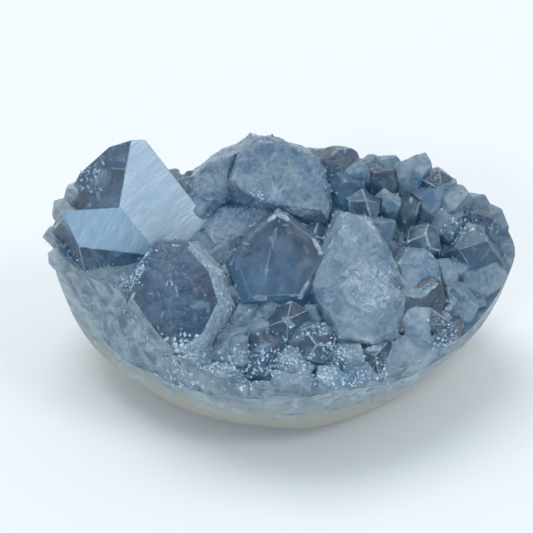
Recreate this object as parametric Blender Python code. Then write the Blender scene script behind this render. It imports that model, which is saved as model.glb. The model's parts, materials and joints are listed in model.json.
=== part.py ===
"""Half of a celestite geode: blue crystals grown together on a worn, smooth-sided rind.

Lengths in the tables below are millimetres in the level frame of the rim: x to the right,
t towards the back, n straight up out of the rim. The whole piece is leaned towards the
front at the end, as it rests on its flat spot.
"""

import math
import random

import bmesh
import bpy
from mathutils import Matrix
from mathutils import Vector

# Units
MM = 0.001

# Overall shape of the geode
LEFT_REACH = 63.1
RIGHT_REACH = 61.4
FRONT_REACH = 46.4
BACK_REACH = 30.0
DEPTH_BELOW = 41.0
BASE_SHIFT = 9.0
BASE_SHIFT_POWER = 5.0
ROOM_ABOVE = 46.0
ROOM_FLARE = 0.3
ROOM_STEEPNESS = 1.3
ROOM_TOP = 0.99
MIDDLE_X = 1.4
FRONT_SKEW = 4.6
LEFT_ROUNDNESS = 1.87
RIGHT_ROUNDNESS = 1.48
BACK_ROUNDNESS = 2.0
LEFT_BACK_ROUNDNESS = 2.4
SIDE_ROUNDNESS = 3.0
LUMP_HEIGHT = 0.4
SHELL_SEGMENTS = 56
SHELL_RINGS = 22

# Sides that are worn in: how deep, at which bearing and how far round, in degrees
LEFT_WORN = 12.0
LEFT_WORN_BEARING = -162.0
LEFT_SPREAD_FRONT = 30.0
LEFT_SPREAD_BACK = 14.0
FRONT_WORN = 3.0
FRONT_WORN_BEARING = -95.0
FRONT_SPREAD = 24.0
BACK_DENT = 6.0
BACK_DENT_BEARING = 133.0
BACK_DENT_SPREAD = 13.0
WORN_FROM = -20.0
WORN_TO = 2.0

# Stance
FORWARD_LEAN = 18.0
RIM_HEIGHT = 39.8
CENTRE_X = 0.07
CENTRE_Y = -3.73
FLOOR_WIDTH = 0.2
FLOOR_DEPTH = 0.04

# Rind under the crystals, with its swells: height, x, t, how wide and how deep
RIND_LEVEL = -8.5
RIND_RIPPLE = 1.3
RIND_SWELLS = [
    (7.5, 10.0, -44.0, 24.0, 12.0),
    (-5.0, -42.0, -28.0, 15.0, 16.0),
    (12.0, -66.0, 6.0, 9.0, 16.0),
    (4.0, -20.0, 32.0, 40.0, 8.0),
    (-4.0, 54.0, -12.0, 14.0, 18.0),
]
SHEET_COLUMNS = 24
SHEET_ROWS = 18
SHEET_MARGIN_X = 12.0
SHEET_MARGIN_T = 9.0
SHEET_TOP = 90.0
SHEET_BOTTOM = -60.0
SEAM_GAP = 0.3

# Crystal bed, with its swells: height, x, t, how wide and how deep
BED_LEVEL = 0.5
BED_RIPPLE = 0.9
BED_SWELLS = [
    (3.0, 4.0, 12.0, 30.0, 14.0),
    (-4.5, -24.0, 28.0, 9.0, 9.0),
    (-2.5, 8.0, -42.0, 34.0, 10.0),
    (-7.0, 54.0, -16.0, 15.0, 22.0),
]
LEAST_BED = 1.6

# Narrow facets round the broad faces
EDGE_WIDTH = 1.1
EDGE_SLANT = 48.0
EDGE_VARIATION = 0.6
EDGE_CHANGE = 2.3

# Blocks that the crystals are cut from
POINTED_BLOCK = 80.0
TOUCHING = 0.0005
MERGE_DISTANCE = 0.000002

# Rough crystals: least and most of each uneven measure
WALL_COUNTS = [5, 6, 6, 7]
WALL_TURN = 11.0
WALL_FLARE = (4.0, 10.0)
WALL_REACH = (0.82, 1.08)
ROOF_COUNTS = [3, 4, 4]
ROOF_TURN = 18.0
ROOF_SLOPE = (38.0, 64.0)
ROOF_REACH = (0.0, 0.18)
ROOF_DROP = 0.12
LEAST_STAND = 2.0
CRYSTAL_ROOT = 3.5

# Small crystals, in rows over the bed
FILL_SEED = 41
FILL_SPACING = 6.2
FILL_ROW_SHARE = 0.87
FILL_LEFT = -68.0
FILL_COLUMNS = 22
FILL_FRONT = -50.0
FILL_DEPTH = 90.0
FILL_SHIFT_X = 1.4
FILL_SHIFT_T = 1.2
FILL_WIDTH = 7.6
FILL_SIZES = (0.8, 1.25)
FILL_LEAN = (4.0, 16.0)
FILL_RIM_LEAN = 14.0
FILL_ABOVE = (2.2, 5.0)
ROOM_ROUND_LARGE = 0.8
ROOM_ROUND_POINTED = 8.0
ROOM_ROUND_MIDDLE = 0.42

# The large crystals that show a broad face: corners of the face (x, t), the face's bearing
# and rise, the height of the face over its first corner, how far its sides lean out and
# how long the crystal is.
BROAD_CRYSTALS = {
    "dark_hexagon": {
        "corners": [
            (-31.0, -8.0),
            (-23.6, -8.6),
            (-17.8, -15.2),
            (-15.2, -22.6),
            (-19.6, -31.4),
            (-24.4, -34.2),
            (-33.0, -30.6),
            (-37.6, -21.0),
            (-35.4, -14.0),
        ],
        "bearing": -106.0,
        "rise": 70.0,
        "top": 13.4,
        "flare": 16.0,
        "length": 22.0,
    },
    "middle_block": {
        "corners": [
            (-0.2, 1.4),
            (7.9, -3.9),
            (11.6, -9.4),
            (5.4, -19.0),
            (-8.2, -19.4),
            (-11.6, -10.6),
            (-7.8, -4.0),
        ],
        "bearing": -91.0,
        "rise": 68.0,
        "top": 14.2,
        "flare": 14.0,
        "length": 22.0,
    },
    "blue_dome": {
        "corners": [
            (-4.6, 21.0),
            (2.2, 20.8),
            (9.6, 18.0),
            (12.6, 10.6),
            (12.4, 3.8),
            (-1.1, 5.0),
            (-9.4, 7.7),
            (-12.5, 11.0),
            (-10.4, 16.1),
        ],
        "bearing": -74.0,
        "rise": 66.0,
        "top": 18.8,
        "flare": 17.0,
        "length": 26.0,
    },
    "fractured_block": {
        "corners": [
            (16.4, 1.4),
            (22.9, 0.2),
            (27.6, -7.6),
            (31.6, -16.8),
            (30.2, -28.0),
            (24.3, -30.8),
            (15.2, -29.4),
            (10.6, -20.4),
            (9.4, -13.8),
        ],
        "bearing": -85.0,
        "rise": 70.0,
        "top": 14.1,
        "flare": 13.0,
        "length": 24.0,
    },
    "clear_right": {
        "corners": [
            (30.6, -21.0),
            (36.0, -15.6),
            (41.8, -12.3),
            (43.8, -17.5),
            (40.1, -24.0),
            (31.6, -27.4),
        ],
        "bearing": -60.0,
        "rise": 55.0,
        "top": 3.8,
        "flare": 16.0,
        "length": 18.0,
    },
    "round_right": {
        "corners": [
            (30.6, -10.4),
            (32.8, -5.8),
            (37.9, -5.2),
            (41.4, -9.0),
            (40.6, -14.2),
            (35.7, -16.4),
            (31.0, -15.2),
        ],
        "bearing": -80.0,
        "rise": 72.0,
        "top": 6.2,
        "flare": 18.0,
        "length": 18.0,
    },
    "back_left_block": {
        "corners": [
            (-24.2, 8.8),
            (-23.2, 13.7),
            (-18.2, 16.0),
            (-13.8, 15.8),
            (-14.6, 9.2),
            (-19.4, 4.6),
        ],
        "bearing": -120.0,
        "rise": 50.0,
        "top": 8.3,
        "flare": 15.0,
        "length": 20.0,
    },
    "layered_slab": {
        "corners": [
            (-20.4, 1.7),
            (-15.2, 7.8),
            (-4.5, 7.2),
            (3.2, 6.9),
            (-2.7, 2.8),
            (-11.5, -1.8),
            (-17.5, -3.0),
        ],
        "bearing": -95.0,
        "rise": 72.0,
        "top": 6.1,
        "flare": 12.0,
        "length": 14.0,
    },
}

# The tall pointed crystal and the low prism before it: the middle of the block, and facets
# with their bearing, their rise and a point that they pass through.
POINTED_CRYSTALS = {
    "tall_point": {
        "middle": (-37.0, 6.0, 4.0),
        "facets": [
            (-81.0, 46.0, (-38.4, 18.6, 22.0)),
            (-129.0, 46.0, (-38.4, 18.6, 22.0)),
            (36.0, 16.0, (-27.0, 12.0, 14.0)),
            (95.0, 14.0, (-41.5, 18.8, 20.3)),
            (120.0, 10.0, (-48.6, 17.3, 15.0)),
            (150.0, 13.0, (-55.0, 13.0, 8.0)),
            (-170.0, 12.0, (-59.5, 6.0, 0.0)),
            (-12.0, 8.0, (-17.0, 0.0, 5.0)),
            (-90.0, -60.0, (-37.0, -14.0, -10.0)),
        ],
    },
    "low_prism": {
        "middle": (-45.0, -4.0, -2.0),
        "facets": [
            (-60.0, 52.0, (-41.8, 5.6, 10.2)),
            (-75.0, 29.0, (-54.3, -4.9, 8.0)),
            (-138.0, 12.6, (-57.0, 1.0, 8.0)),
            (100.0, 14.0, (-41.8, 5.6, 10.2)),
            (174.0, 24.0, (-58.0, 3.0, 7.0)),
            (0.0, 20.0, (-31.0, -6.0, 0.0)),
            (90.0, 10.0, (-44.0, 9.0, 0.0)),
            (-90.0, -70.0, (-45.0, -10.0, -14.0)),
        ],
    },
}

# Middling crystals: x, t, height of the tip, width, bearing of the lean, lean and turn.
MIDDLE_CRYSTALS = [
    (15.9, 22.6, 12.2, 10.6, 60, 12, 20),
    (22.4, 17.6, 11.0, 7.6, -20, 16, 75),
    (29.3, 17.4, 10.5, 7.8, 20, 14, 130),
    (36.4, 21.2, 12.0, 8.6, 70, 18, 40),
    (43.0, 18.2, 10.0, 7.6, 40, 22, 95),
    (29.4, 9.6, 9.5, 7.4, -70, 10, 10),
    (34.8, 9.3, 9.0, 6.4, 10, 8, 60),
    (42.4, 13.4, 9.0, 11.0, -40, 14, 15),
    (50.0, 12.6, 7.0, 9.6, 10, 26, 110),
    (56.6, 5.6, 6.0, 9.0, 0, 30, 30),
    (45.4, 3.6, 7.0, 8.6, -60, 16, 50),
    (53.6, -2.2, 6.5, 12.0, -30, 20, 85),
    (49.0, -8.6, 3.5, 8.6, -80, 22, 5),
    (56.0, -10.0, 4.0, 10.0, -20, 30, 60),
    (38.0, -1.6, 8.5, 8.0, -100, 10, 25),
    (26.6, 1.4, 9.5, 7.6, -70, 8, 70),
    (18.4, 13.0, 11.5, 9.6, -80, 12, 45),
    (22.6, 7.4, 10.5, 8.0, -60, 12, 100),
    (43.8, -10.6, 4.5, 7.6, -60, 20, 15),
    (49.0, -17.6, 2.5, 10.0, -40, 28, 75),
    (43.6, -24.6, 2.5, 11.6, -55, 30, 35),
    (36.4, -27.2, 3.5, 10.6, -70, 28, 5),
    (32.2, -35.4, 1.5, 10.6, -70, 30, 55),
    (24.6, -35.0, 2.6, 11.0, -85, 24, 95),
    (17.2, -35.4, 3.4, 9.6, -90, 22, 20),
    (9.4, -31.6, 4.6, 9.6, -90, 16, 65),
    (3.2, -38.8, 4.5, 9.8, -95, 24, 30),
    (-4.4, -35.6, 6.0, 12.0, -95, 22, 80),
    (-11.0, -33.6, 5.0, 8.6, -110, 18, 15),
    (1.8, -26.4, 7.0, 10.0, -90, 14, 50),
    (-22.6, -36.4, 4.5, 11.0, -110, 24, 40),
    (-31.6, -34.6, 3.0, 10.0, -115, 26, 90),
    (-36.2, -28.4, 5.0, 7.6, -130, 22, 25),
    (-42.6, -24.6, 2.0, 9.6, -130, 28, 60),
    (-48.6, -18.0, -2.0, 9.6, -135, 28, 10),
    (-53.6, -9.4, -1.0, 9.6, -150, 26, 45),
    (-14.6, -41.0, 1.5, 9.6, -105, 30, 70),
    (-24.4, -41.0, 0.0, 9.0, -110, 34, 20),
    (12.6, -42.6, 1.5, 9.6, -85, 30, 85),
    (22.2, -41.6, 1.0, 9.6, -80, 32, 35),
    (-21.8, 10.4, 10.0, 7.2, 110, 14, 55),
    (8.2, -1.4, 8.0, 9.0, -90, 8, 35),
    (-14.0, -3.4, 6.5, 9.0, -80, 10, 5),
    (-54.6, 12.2, 6.5, 9.6, 140, 22, 65),
    (-58.4, 4.0, 3.5, 8.0, 175, 24, 20),
    (-27.0, -2.0, 5.0, 9.6, -60, 12, 75),
    (-46.0, 20.5, 7.5, 9.0, 100, 20, 30),
    (-37.0, 22.6, 8.0, 9.0, 90, 22, 70),
    (-30.6, 22.4, 2.6, 7.0, 110, 20, 40),
    (-8.0, 26.5, 8.5, 9.5, 95, 18, 15),
    (1.5, 27.5, 8.8, 10.0, 90, 20, 50),
    (10.4, 26.8, 6.4, 8.6, 85, 20, 80),
    (26.0, 24.8, 7.0, 8.6, 80, 20, 10),
]

# Knobs of rind at the left end: x, t, height of the top and width.
RIND_KNOBS = [
    (-59.2, 8.6, 6.8, 6.4),
    (-60.4, 3.2, 3.4, 6.6),
    (-59.8, -2.2, 1.6, 5.8),
    (-56.0, 13.2, 8.2, 6.2),
]
KNOB_SEED = 7
KNOB_LENGTH = 1.1
KNOB_BEARING = 180.0
KNOB_LEAN = 30.0
KNOB_TURN = 20.0


def rim_to_world():
    """Matrix that leans the level frame forward, lifts it and turns millimetres to metres."""
    lean = Matrix.Rotation(math.radians(FORWARD_LEAN), 4, "X")
    lift = Matrix.Translation((-CENTRE_X, -CENTRE_Y, RIM_HEIGHT))
    scale = Matrix.Diagonal((MM, MM, MM, 1.0))
    return scale @ lift @ lean


def direction(bearing, rise):
    """Unit vector from a bearing in plan and a rise above it, in degrees."""
    turn = math.radians(bearing)
    lift = math.radians(rise)
    flat = math.cos(lift)
    return Vector((flat * math.cos(turn), flat * math.sin(turn), math.sin(lift)))


def cut_by_plane(mesh, point, normal):
    """Cuts away what lies beyond a plane and closes the cut with a flat face."""
    geometry = mesh.verts[:] + mesh.edges[:] + mesh.faces[:]
    result = bmesh.ops.bisect_plane(
        mesh,
        geom=geometry,
        dist=TOUCHING,
        plane_co=point,
        plane_no=normal,
        clear_outer=True,
    )
    rim = [item for item in result["geom_cut"] if isinstance(item, bmesh.types.BMEdge)]
    if len(rim) > 2:
        bmesh.ops.contextual_create(mesh, geom=rim)


def broad_crystal(entry):
    """A crystal with a broad flat face and straight sides that lean out below it."""
    normal = direction(entry["bearing"], entry["rise"])
    first = Vector((*entry["corners"][0], entry["top"]))
    face = []
    for x, t in entry["corners"]:
        n = first.z - (normal.x * (x - first.x) + normal.y * (t - first.y)) / normal.z
        face.append(Vector((x, t, n)))
    middle = sum(face, Vector()) / len(face)
    mesh = bmesh.new()
    bmesh.ops.create_cube(mesh, size=2.0 * entry["length"])
    bmesh.ops.translate(mesh, verts=mesh.verts, vec=middle)
    cut_by_plane(mesh, middle, normal)
    flare = math.radians(entry["flare"])
    slant = math.radians(EDGE_SLANT)
    for number, (here, there) in enumerate(zip(face, face[1:] + face[:1])):
        edge = (there - here).normalized()
        outward = edge.cross(normal)
        if outward.dot(here - middle) < 0.0:
            outward = -outward
        change = math.sin(EDGE_CHANGE * number + here.x)
        half = 0.5 * EDGE_WIDTH * (1.0 + EDGE_VARIATION * change)
        side = outward * math.cos(flare) + normal * math.sin(flare)
        cut_by_plane(mesh, here + outward * half, side)
        worn = outward * math.cos(slant) + normal * math.sin(slant)
        cut_by_plane(mesh, here - outward * half, worn)
    return mesh


def pointed_crystal(entry):
    """A crystal cut from a block by facets round a middle point."""
    middle = Vector(entry["middle"])
    mesh = bmesh.new()
    bmesh.ops.create_cube(mesh, size=POINTED_BLOCK)
    bmesh.ops.translate(mesh, verts=mesh.verts, vec=middle)
    for bearing, rise, through in entry["facets"]:
        cut_by_plane(mesh, Vector(through), direction(bearing, rise))
    return mesh


def rough_crystal(row, length, chance, grow=0.0):
    """A stubby uneven crystal with a blunt faceted end, its tip near the given point."""
    x, t, n, width, bearing, lean, turn = row
    mesh = bmesh.new()
    radius = width / 2.0
    bmesh.ops.create_cube(mesh, size=4.0 * width)
    bmesh.ops.translate(mesh, verts=mesh.verts, vec=(0.0, 0.0, 2.0 * width - length - grow))
    walls = chance.choice(WALL_COUNTS)
    for number in range(walls):
        toward = number * 360.0 / walls + chance.uniform(-WALL_TURN, WALL_TURN)
        wall = direction(toward, chance.uniform(*WALL_FLARE))
        cut_by_plane(mesh, wall * (radius * chance.uniform(*WALL_REACH) + grow), wall)
    roofs = chance.choice(ROOF_COUNTS)
    for number in range(roofs):
        toward = number * 360.0 / roofs + chance.uniform(-ROOF_TURN, ROOF_TURN)
        slope = direction(toward, chance.uniform(*ROOF_SLOPE))
        reach = radius * chance.uniform(*ROOF_REACH) + grow
        cut_by_plane(mesh, Vector((0.0, 0.0, -ROOF_DROP * radius)) + slope * reach, slope)
    axis = direction(bearing, 90.0 - lean)
    stand = axis.to_track_quat("Z", "Y").to_matrix().to_4x4()
    spin = Matrix.Rotation(math.radians(turn), 4, "Z")
    mesh.transform(Matrix.Translation((x, t, n)) @ stand @ spin)
    return mesh


def rind_knobs(grow):
    """The rough knobs of rind that stand round the left end, grown all round by a gap."""
    chance = random.Random(KNOB_SEED)
    together = bmesh.new()
    for x, t, n, width in RIND_KNOBS:
        row = (x, t, n, width, KNOB_BEARING, KNOB_LEAN, KNOB_TURN * t)
        add_mesh(together, rough_crystal(row, width * KNOB_LENGTH, chance, grow))
    return together


def ripple(x, t, phase):
    """Gentle uneven height between -1 and 1."""
    wave = math.sin(0.21 * x + 1.7 * phase) * math.cos(0.25 * t - 0.9 * phase)
    small = math.sin(0.47 * x - 0.31 * t + phase) * 0.55
    return (wave + small) / 1.55


def bump(x, t, at_x, at_t, wide, deep):
    """A rounded bump of height one."""
    return math.exp(-(((x - at_x) / wide) ** 2) - (((t - at_t) / deep) ** 2))


def rind_height(x, t):
    """Height of the top of the rind."""
    height = RIND_LEVEL + RIND_RIPPLE * ripple(x, t, 0.4)
    for swell, *place in RIND_SWELLS:
        height += swell * bump(x, t, *place)
    return height


def bed_height(x, t):
    """Height of the bed the crystals stand in."""
    height = BED_LEVEL + BED_RIPPLE * ripple(x, t, 2.3)
    for swell, *place in BED_SWELLS:
        height += swell * bump(x, t, *place)
    return max(height, rind_height(x, t) + LEAST_BED)


def sheet_block(height_at, far):
    """A block with one uneven side that follows a height over the plan."""
    mesh = bmesh.new()
    bmesh.ops.create_grid(mesh, x_segments=SHEET_COLUMNS, y_segments=SHEET_ROWS, size=1.0)
    half_x = LEFT_REACH + SHEET_MARGIN_X
    half_t = FRONT_REACH + SHEET_MARGIN_T
    bmesh.ops.scale(mesh, verts=mesh.verts, vec=(half_x, half_t, 1.0))
    near = mesh.verts[:]
    for vert in near:
        vert.co.z = height_at(vert.co.x, vert.co.y)
    extruded = bmesh.ops.extrude_face_region(mesh, geom=mesh.faces[:])
    for item in extruded["geom"]:
        if isinstance(item, bmesh.types.BMVert):
            item.co.z = far
    flat = [face for face in mesh.faces if all(abs(v.co.z - far) < 1e-6 for v in face.verts)]
    bmesh.ops.dissolve_faces(mesh, faces=flat)
    bmesh.ops.recalc_face_normals(mesh, faces=mesh.faces)
    return mesh


def plan_reach(x, t):
    """Size of the rim outline that passes through a point, 1 on the rim itself."""
    if t < 0.0:
        x = x + FRONT_SKEW * t / FRONT_REACH
    x = x - MIDDLE_X
    if t > 0.0:
        roundness = LEFT_BACK_ROUNDNESS if x < 0.0 else BACK_ROUNDNESS
    elif x < 0.0:
        roundness = LEFT_ROUNDNESS
    else:
        roundness = RIGHT_ROUNDNESS
    along = abs(x) / (LEFT_REACH if x < 0.0 else RIGHT_REACH)
    across = abs(t) / (BACK_REACH if t > 0.0 else FRONT_REACH)
    return (along**roundness + across**roundness) ** (1.0 / roundness)


def turn_from(bearing, middle):
    """Angle from one bearing to another, between -180 and 180 degrees."""
    return (bearing - middle + 180.0) % 360.0 - 180.0


def worn_depth(bearing, height):
    """How far the worn sides lean in towards the rim."""
    from_left = turn_from(bearing, LEFT_WORN_BEARING)
    from_front = turn_from(bearing, FRONT_WORN_BEARING)
    from_dent = turn_from(bearing, BACK_DENT_BEARING)
    left_spread = LEFT_SPREAD_FRONT if from_left > 0.0 else LEFT_SPREAD_BACK
    depth = LEFT_WORN * math.exp(-((from_left / left_spread) ** 2))
    depth += FRONT_WORN * math.exp(-((from_front / FRONT_SPREAD) ** 2))
    depth += BACK_DENT * math.exp(-((from_dent / BACK_DENT_SPREAD) ** 2))
    rise = (height - WORN_FROM) / (WORN_TO - WORN_FROM)
    return depth * min(max(rise, 0.0), 1.0)


def geode_outside():
    """The smooth worn outside, closed, with room above the rim for the crystals."""
    mesh = bmesh.new()
    bmesh.ops.create_uvsphere(
        mesh, u_segments=SHELL_SEGMENTS, v_segments=SHELL_RINGS, radius=1.0
    )
    for vert in mesh.verts:
        unit = vert.co.normalized()
        flat = math.hypot(unit.x, unit.y)
        height = unit.z * (ROOM_ABOVE if unit.z > 0.0 else DEPTH_BELOW)
        if unit.z > 0.0:
            share = 1.0 + ROOM_FLARE * unit.z * max(unit.y, 0.0) / flat if flat > 0.0 else 0.0
            height = min(height * ROOM_STEEPNESS, ROOM_ABOVE)
            if unit.z > ROOM_TOP:
                share = 0.0
        else:
            share = flat
        turn = math.atan2(unit.y, unit.x)
        x = math.cos(turn) * (RIGHT_REACH if unit.x > 0.0 else LEFT_REACH)
        t = math.sin(turn) * (BACK_REACH if unit.y > 0.0 else FRONT_REACH)
        rim = 1.0 / plan_reach(x + MIDDLE_X - min(t, 0.0) * FRONT_SKEW / FRONT_REACH, t)
        if unit.z <= 0.0:
            squash = flat**SIDE_ROUNDNESS + abs(unit.z) ** SIDE_ROUNDNESS
            squash = squash ** (-1.0 / SIDE_ROUNDNESS)
            share *= squash
            height *= squash
        x *= rim * share
        t *= rim * share
        toward = math.atan2(t, x)
        worn = worn_depth(math.degrees(toward), height) * min(share, 1.0)
        x -= worn * math.cos(toward)
        t -= worn * math.sin(toward)
        x += MIDDLE_X * min(share, 1.0)
        x -= FRONT_SKEW * min(t, 0.0) / FRONT_REACH
        t += BASE_SHIFT * max(-height / DEPTH_BELOW, 0.0) ** BASE_SHIFT_POWER
        lump = math.sin(0.11 * x + 0.8) * math.cos(0.16 * t + 0.13 * height)
        lump += 0.6 * math.sin(0.19 * height - 0.14 * x + 1.9)
        vert.co = Vector((x, t, height)) + unit * (LUMP_HEIGHT * lump)
    return mesh


def inside_corners(x, t, corners):
    """True inside the outline through some corners, with a little room round it."""
    mid_x = sum(c[0] for c in corners) / len(corners)
    mid_t = sum(c[1] for c in corners) / len(corners)
    turns = []
    for here, there in zip(corners, corners[1:] + corners[:1]):
        edge_x = there[0] - here[0]
        edge_t = there[1] - here[1]
        towards_x = x - here[0]
        towards_t = t - here[1]
        inner = edge_x * (mid_t - here[1]) - edge_t * (mid_x - here[0])
        turn = edge_x * towards_t - edge_t * towards_x
        distance = turn / math.hypot(edge_x, edge_t) * (1.0 if inner > 0.0 else -1.0)
        turns.append(distance > -ROOM_ROUND_LARGE)
    return all(turns)


def near_large(x, t):
    """True where one of the large or middling crystals already stands."""
    for entry in BROAD_CRYSTALS.values():
        if inside_corners(x, t, entry["corners"]):
            return True
    for entry in POINTED_CRYSTALS.values():
        middle = entry["middle"]
        if math.hypot(x - middle[0], t - middle[1]) < ROOM_ROUND_POINTED:
            return True
    for row in MIDDLE_CRYSTALS:
        if math.hypot(x - row[0], t - row[1]) < row[3] * ROOM_ROUND_MIDDLE:
            return True
    return False


def small_crystals(chance):
    """Small crystals that fill the bed between the large ones, out to the rim."""
    found = []
    row_spacing = FILL_SPACING * FILL_ROW_SHARE
    for row in range(int(FILL_DEPTH / row_spacing)):
        shift = 0.5 * FILL_SPACING * (row % 2)
        for column in range(FILL_COLUMNS):
            x = FILL_LEFT + column * FILL_SPACING + shift
            x += chance.uniform(-FILL_SHIFT_X, FILL_SHIFT_X)
            t = FILL_FRONT + row * FILL_SPACING * FILL_ROW_SHARE
            t += chance.uniform(-FILL_SHIFT_T, FILL_SHIFT_T)
            width = FILL_WIDTH * chance.uniform(*FILL_SIZES)
            lean = chance.uniform(*FILL_LEAN)
            turn = chance.uniform(0.0, 180.0)
            above = chance.uniform(*FILL_ABOVE)
            edge = plan_reach(x, t)
            if edge > 1.0 or near_large(x, t):
                continue
            out = math.degrees(math.atan2(t, x))
            lean += FILL_RIM_LEAN * edge
            found.append((x, t, bed_height(x, t) + above, width, out, lean, turn))
    return found


def crystal_length(row):
    """Length of a rough crystal, from its tip to its root under the bed."""
    return max(row[2] - bed_height(row[0], row[1]), LEAST_STAND) + CRYSTAL_ROOT


def add_mesh(target, extra):
    """Adds one working mesh to another."""
    piece = bpy.data.meshes.new("piece")
    bmesh.ops.recalc_face_normals(extra, faces=extra.faces)
    extra.to_mesh(piece)
    extra.free()
    target.from_mesh(piece)
    bpy.data.meshes.remove(piece)


def make_object(name, mesh, collection):
    """Turns a working mesh in the rim's frame to an object in the world's frame."""
    bmesh.ops.triangulate(mesh, faces=mesh.faces)
    bmesh.ops.recalc_face_normals(mesh, faces=mesh.faces)
    mesh.transform(rim_to_world())
    data = bpy.data.meshes.new(name)
    mesh.to_mesh(data)
    mesh.free()
    thing = bpy.data.objects.new(name, data)
    collection.objects.link(thing)
    return thing


def make_cutter(name, mesh, collection):
    """A hidden solid used to cut others."""
    thing = make_object(name, mesh, collection)
    thing.hide_render = True
    thing.display_type = "WIRE"
    return thing


def floor_block(collection):
    """A hidden block under the flat spot the geode rests on."""
    mesh = bmesh.new()
    bmesh.ops.create_cube(mesh, size=1.0)
    bmesh.ops.scale(mesh, verts=mesh.verts, vec=(FLOOR_WIDTH, FLOOR_WIDTH, FLOOR_DEPTH))
    bmesh.ops.translate(mesh, verts=mesh.verts, vec=(0.0, 0.0, -0.5 * FLOOR_DEPTH))
    data = bpy.data.meshes.new("resting_spot")
    mesh.to_mesh(data)
    mesh.free()
    block = bpy.data.objects.new("resting_spot", data)
    block.hide_render = True
    block.display_type = "WIRE"
    collection.objects.link(block)
    return block


def solid_step(thing, other, operation, with_self=False):
    """One exact solid operation, kept at once in the object's own mesh."""
    step = thing.modifiers.new(name=operation.title(), type="BOOLEAN")
    step.operation = operation
    step.object = other
    step.solver = "EXACT"
    step.use_self = with_self
    bpy.context.view_layer.update()
    graph = bpy.context.evaluated_depsgraph_get()
    result = bpy.data.meshes.new_from_object(thing.evaluated_get(graph))
    thing.modifiers.remove(step)
    old = thing.data
    thing.data = result
    bpy.data.meshes.remove(old)


def keep_largest_body(thing):
    """Keeps the largest connected body, tidies it and leaves it in triangles."""
    mesh = bmesh.new()
    mesh.from_mesh(thing.data)
    bmesh.ops.remove_doubles(mesh, verts=mesh.verts, dist=MERGE_DISTANCE)
    bmesh.ops.dissolve_degenerate(mesh, edges=mesh.edges, dist=MERGE_DISTANCE)
    left = set(mesh.verts)
    bodies = []
    while left:
        start = left.pop()
        body = {start}
        queue = [start]
        while queue:
            vert = queue.pop()
            for edge in vert.link_edges:
                other = edge.other_vert(vert)
                if other not in body:
                    body.add(other)
                    queue.append(other)
        left -= body
        bodies.append(body)
    largest = max(bodies, key=len)
    spare = [vert for vert in mesh.verts if vert not in largest]
    bmesh.ops.delete(mesh, geom=spare, context="VERTS")
    bmesh.ops.triangulate(mesh, faces=mesh.faces)
    bmesh.ops.recalc_face_normals(mesh, faces=mesh.faces)
    mesh.to_mesh(thing.data)
    mesh.free()


def make_material(name, colour, roughness, transmission, index):
    """A plain material in its own slot."""
    material = bpy.data.materials.new(name)
    material.use_nodes = True
    shader = material.node_tree.nodes["Principled BSDF"]
    shader.inputs["Base Color"].default_value = (*colour, 1.0)
    shader.inputs["Roughness"].default_value = roughness
    shader.inputs["Transmission Weight"].default_value = transmission
    shader.inputs["IOR"].default_value = index
    return material


def clear_file():
    """Removes what the new file starts with."""
    for thing in list(bpy.data.objects):
        bpy.data.objects.remove(thing, do_unlink=True)
    for collection in list(bpy.data.collections):
        bpy.data.collections.remove(collection)


def new_collection(name):
    """A collection linked to the scene."""
    collection = bpy.data.collections.new(name)
    bpy.context.scene.collection.children.link(collection)
    return collection


def all_crystals():
    """Every crystal as one working mesh, still overlapping."""
    chance = random.Random(FILL_SEED)
    together = bmesh.new()
    for entry in BROAD_CRYSTALS.values():
        add_mesh(together, broad_crystal(entry))
    for entry in POINTED_CRYSTALS.values():
        add_mesh(together, pointed_crystal(entry))
    for row in MIDDLE_CRYSTALS:
        add_mesh(together, rough_crystal(row, crystal_length(row), chance))
    for row in small_crystals(chance):
        add_mesh(together, rough_crystal(row, crystal_length(row), chance))
    return together


def seam_height(x, t):
    """Height of the underside of the crystals, a seam above the rind."""
    return rind_height(x, t) + SEAM_GAP


def build():
    """Builds the two solids."""
    clear_file()
    geode = new_collection("celestite_geode")
    cutters = new_collection("cutters")

    # Hidden solids that trim the others
    above_rind = make_cutter("above_rind", sheet_block(rind_height, SHEET_TOP), cutters)
    above_seam = make_cutter("above_seam", sheet_block(seam_height, SHEET_TOP), cutters)
    outside = make_cutter("outside", geode_outside(), cutters)
    floor = floor_block(cutters)

    # Rind
    rind = make_object("matrix_rind", geode_outside(), geode)
    solid_step(rind, above_rind, "DIFFERENCE")
    knobs = make_cutter("rind_knobs", rind_knobs(0.0), cutters)
    solid_step(rind, knobs, "UNION", with_self=True)
    solid_step(rind, floor, "DIFFERENCE")
    keep_largest_body(rind)

    # Crystals grown together on their bed
    crust = make_object("crystal_crust", sheet_block(bed_height, SHEET_BOTTOM), geode)
    crystals = make_cutter("crystals", all_crystals(), cutters)
    solid_step(crust, crystals, "UNION", with_self=True)
    solid_step(crust, outside, "INTERSECT")
    solid_step(crust, above_seam, "INTERSECT")
    room = make_cutter("knob_room", rind_knobs(SEAM_GAP), cutters)
    solid_step(crust, room, "DIFFERENCE", with_self=True)
    keep_largest_body(crust)

    rind.data.materials.clear()
    rind.data.materials.append(make_material("rind_stone", (0.42, 0.45, 0.47), 0.6, 0.0, 1.5))
    crust.data.materials.clear()
    crust.data.materials.append(make_material("celestite", (0.42, 0.58, 0.72), 0.12, 0.8, 1.63))


build()
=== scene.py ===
"""A celestite geode on a pale table: blue crystals grown together on a worn, rounded rind.

Lengths in the tables are millimetres in the level frame of the rim: x to the right, t
towards the back, n straight up out of the rim. The geode is leaned towards the front, as
it rests on its flat spot, when a piece is finished.
"""

import json
import math
import random

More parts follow.
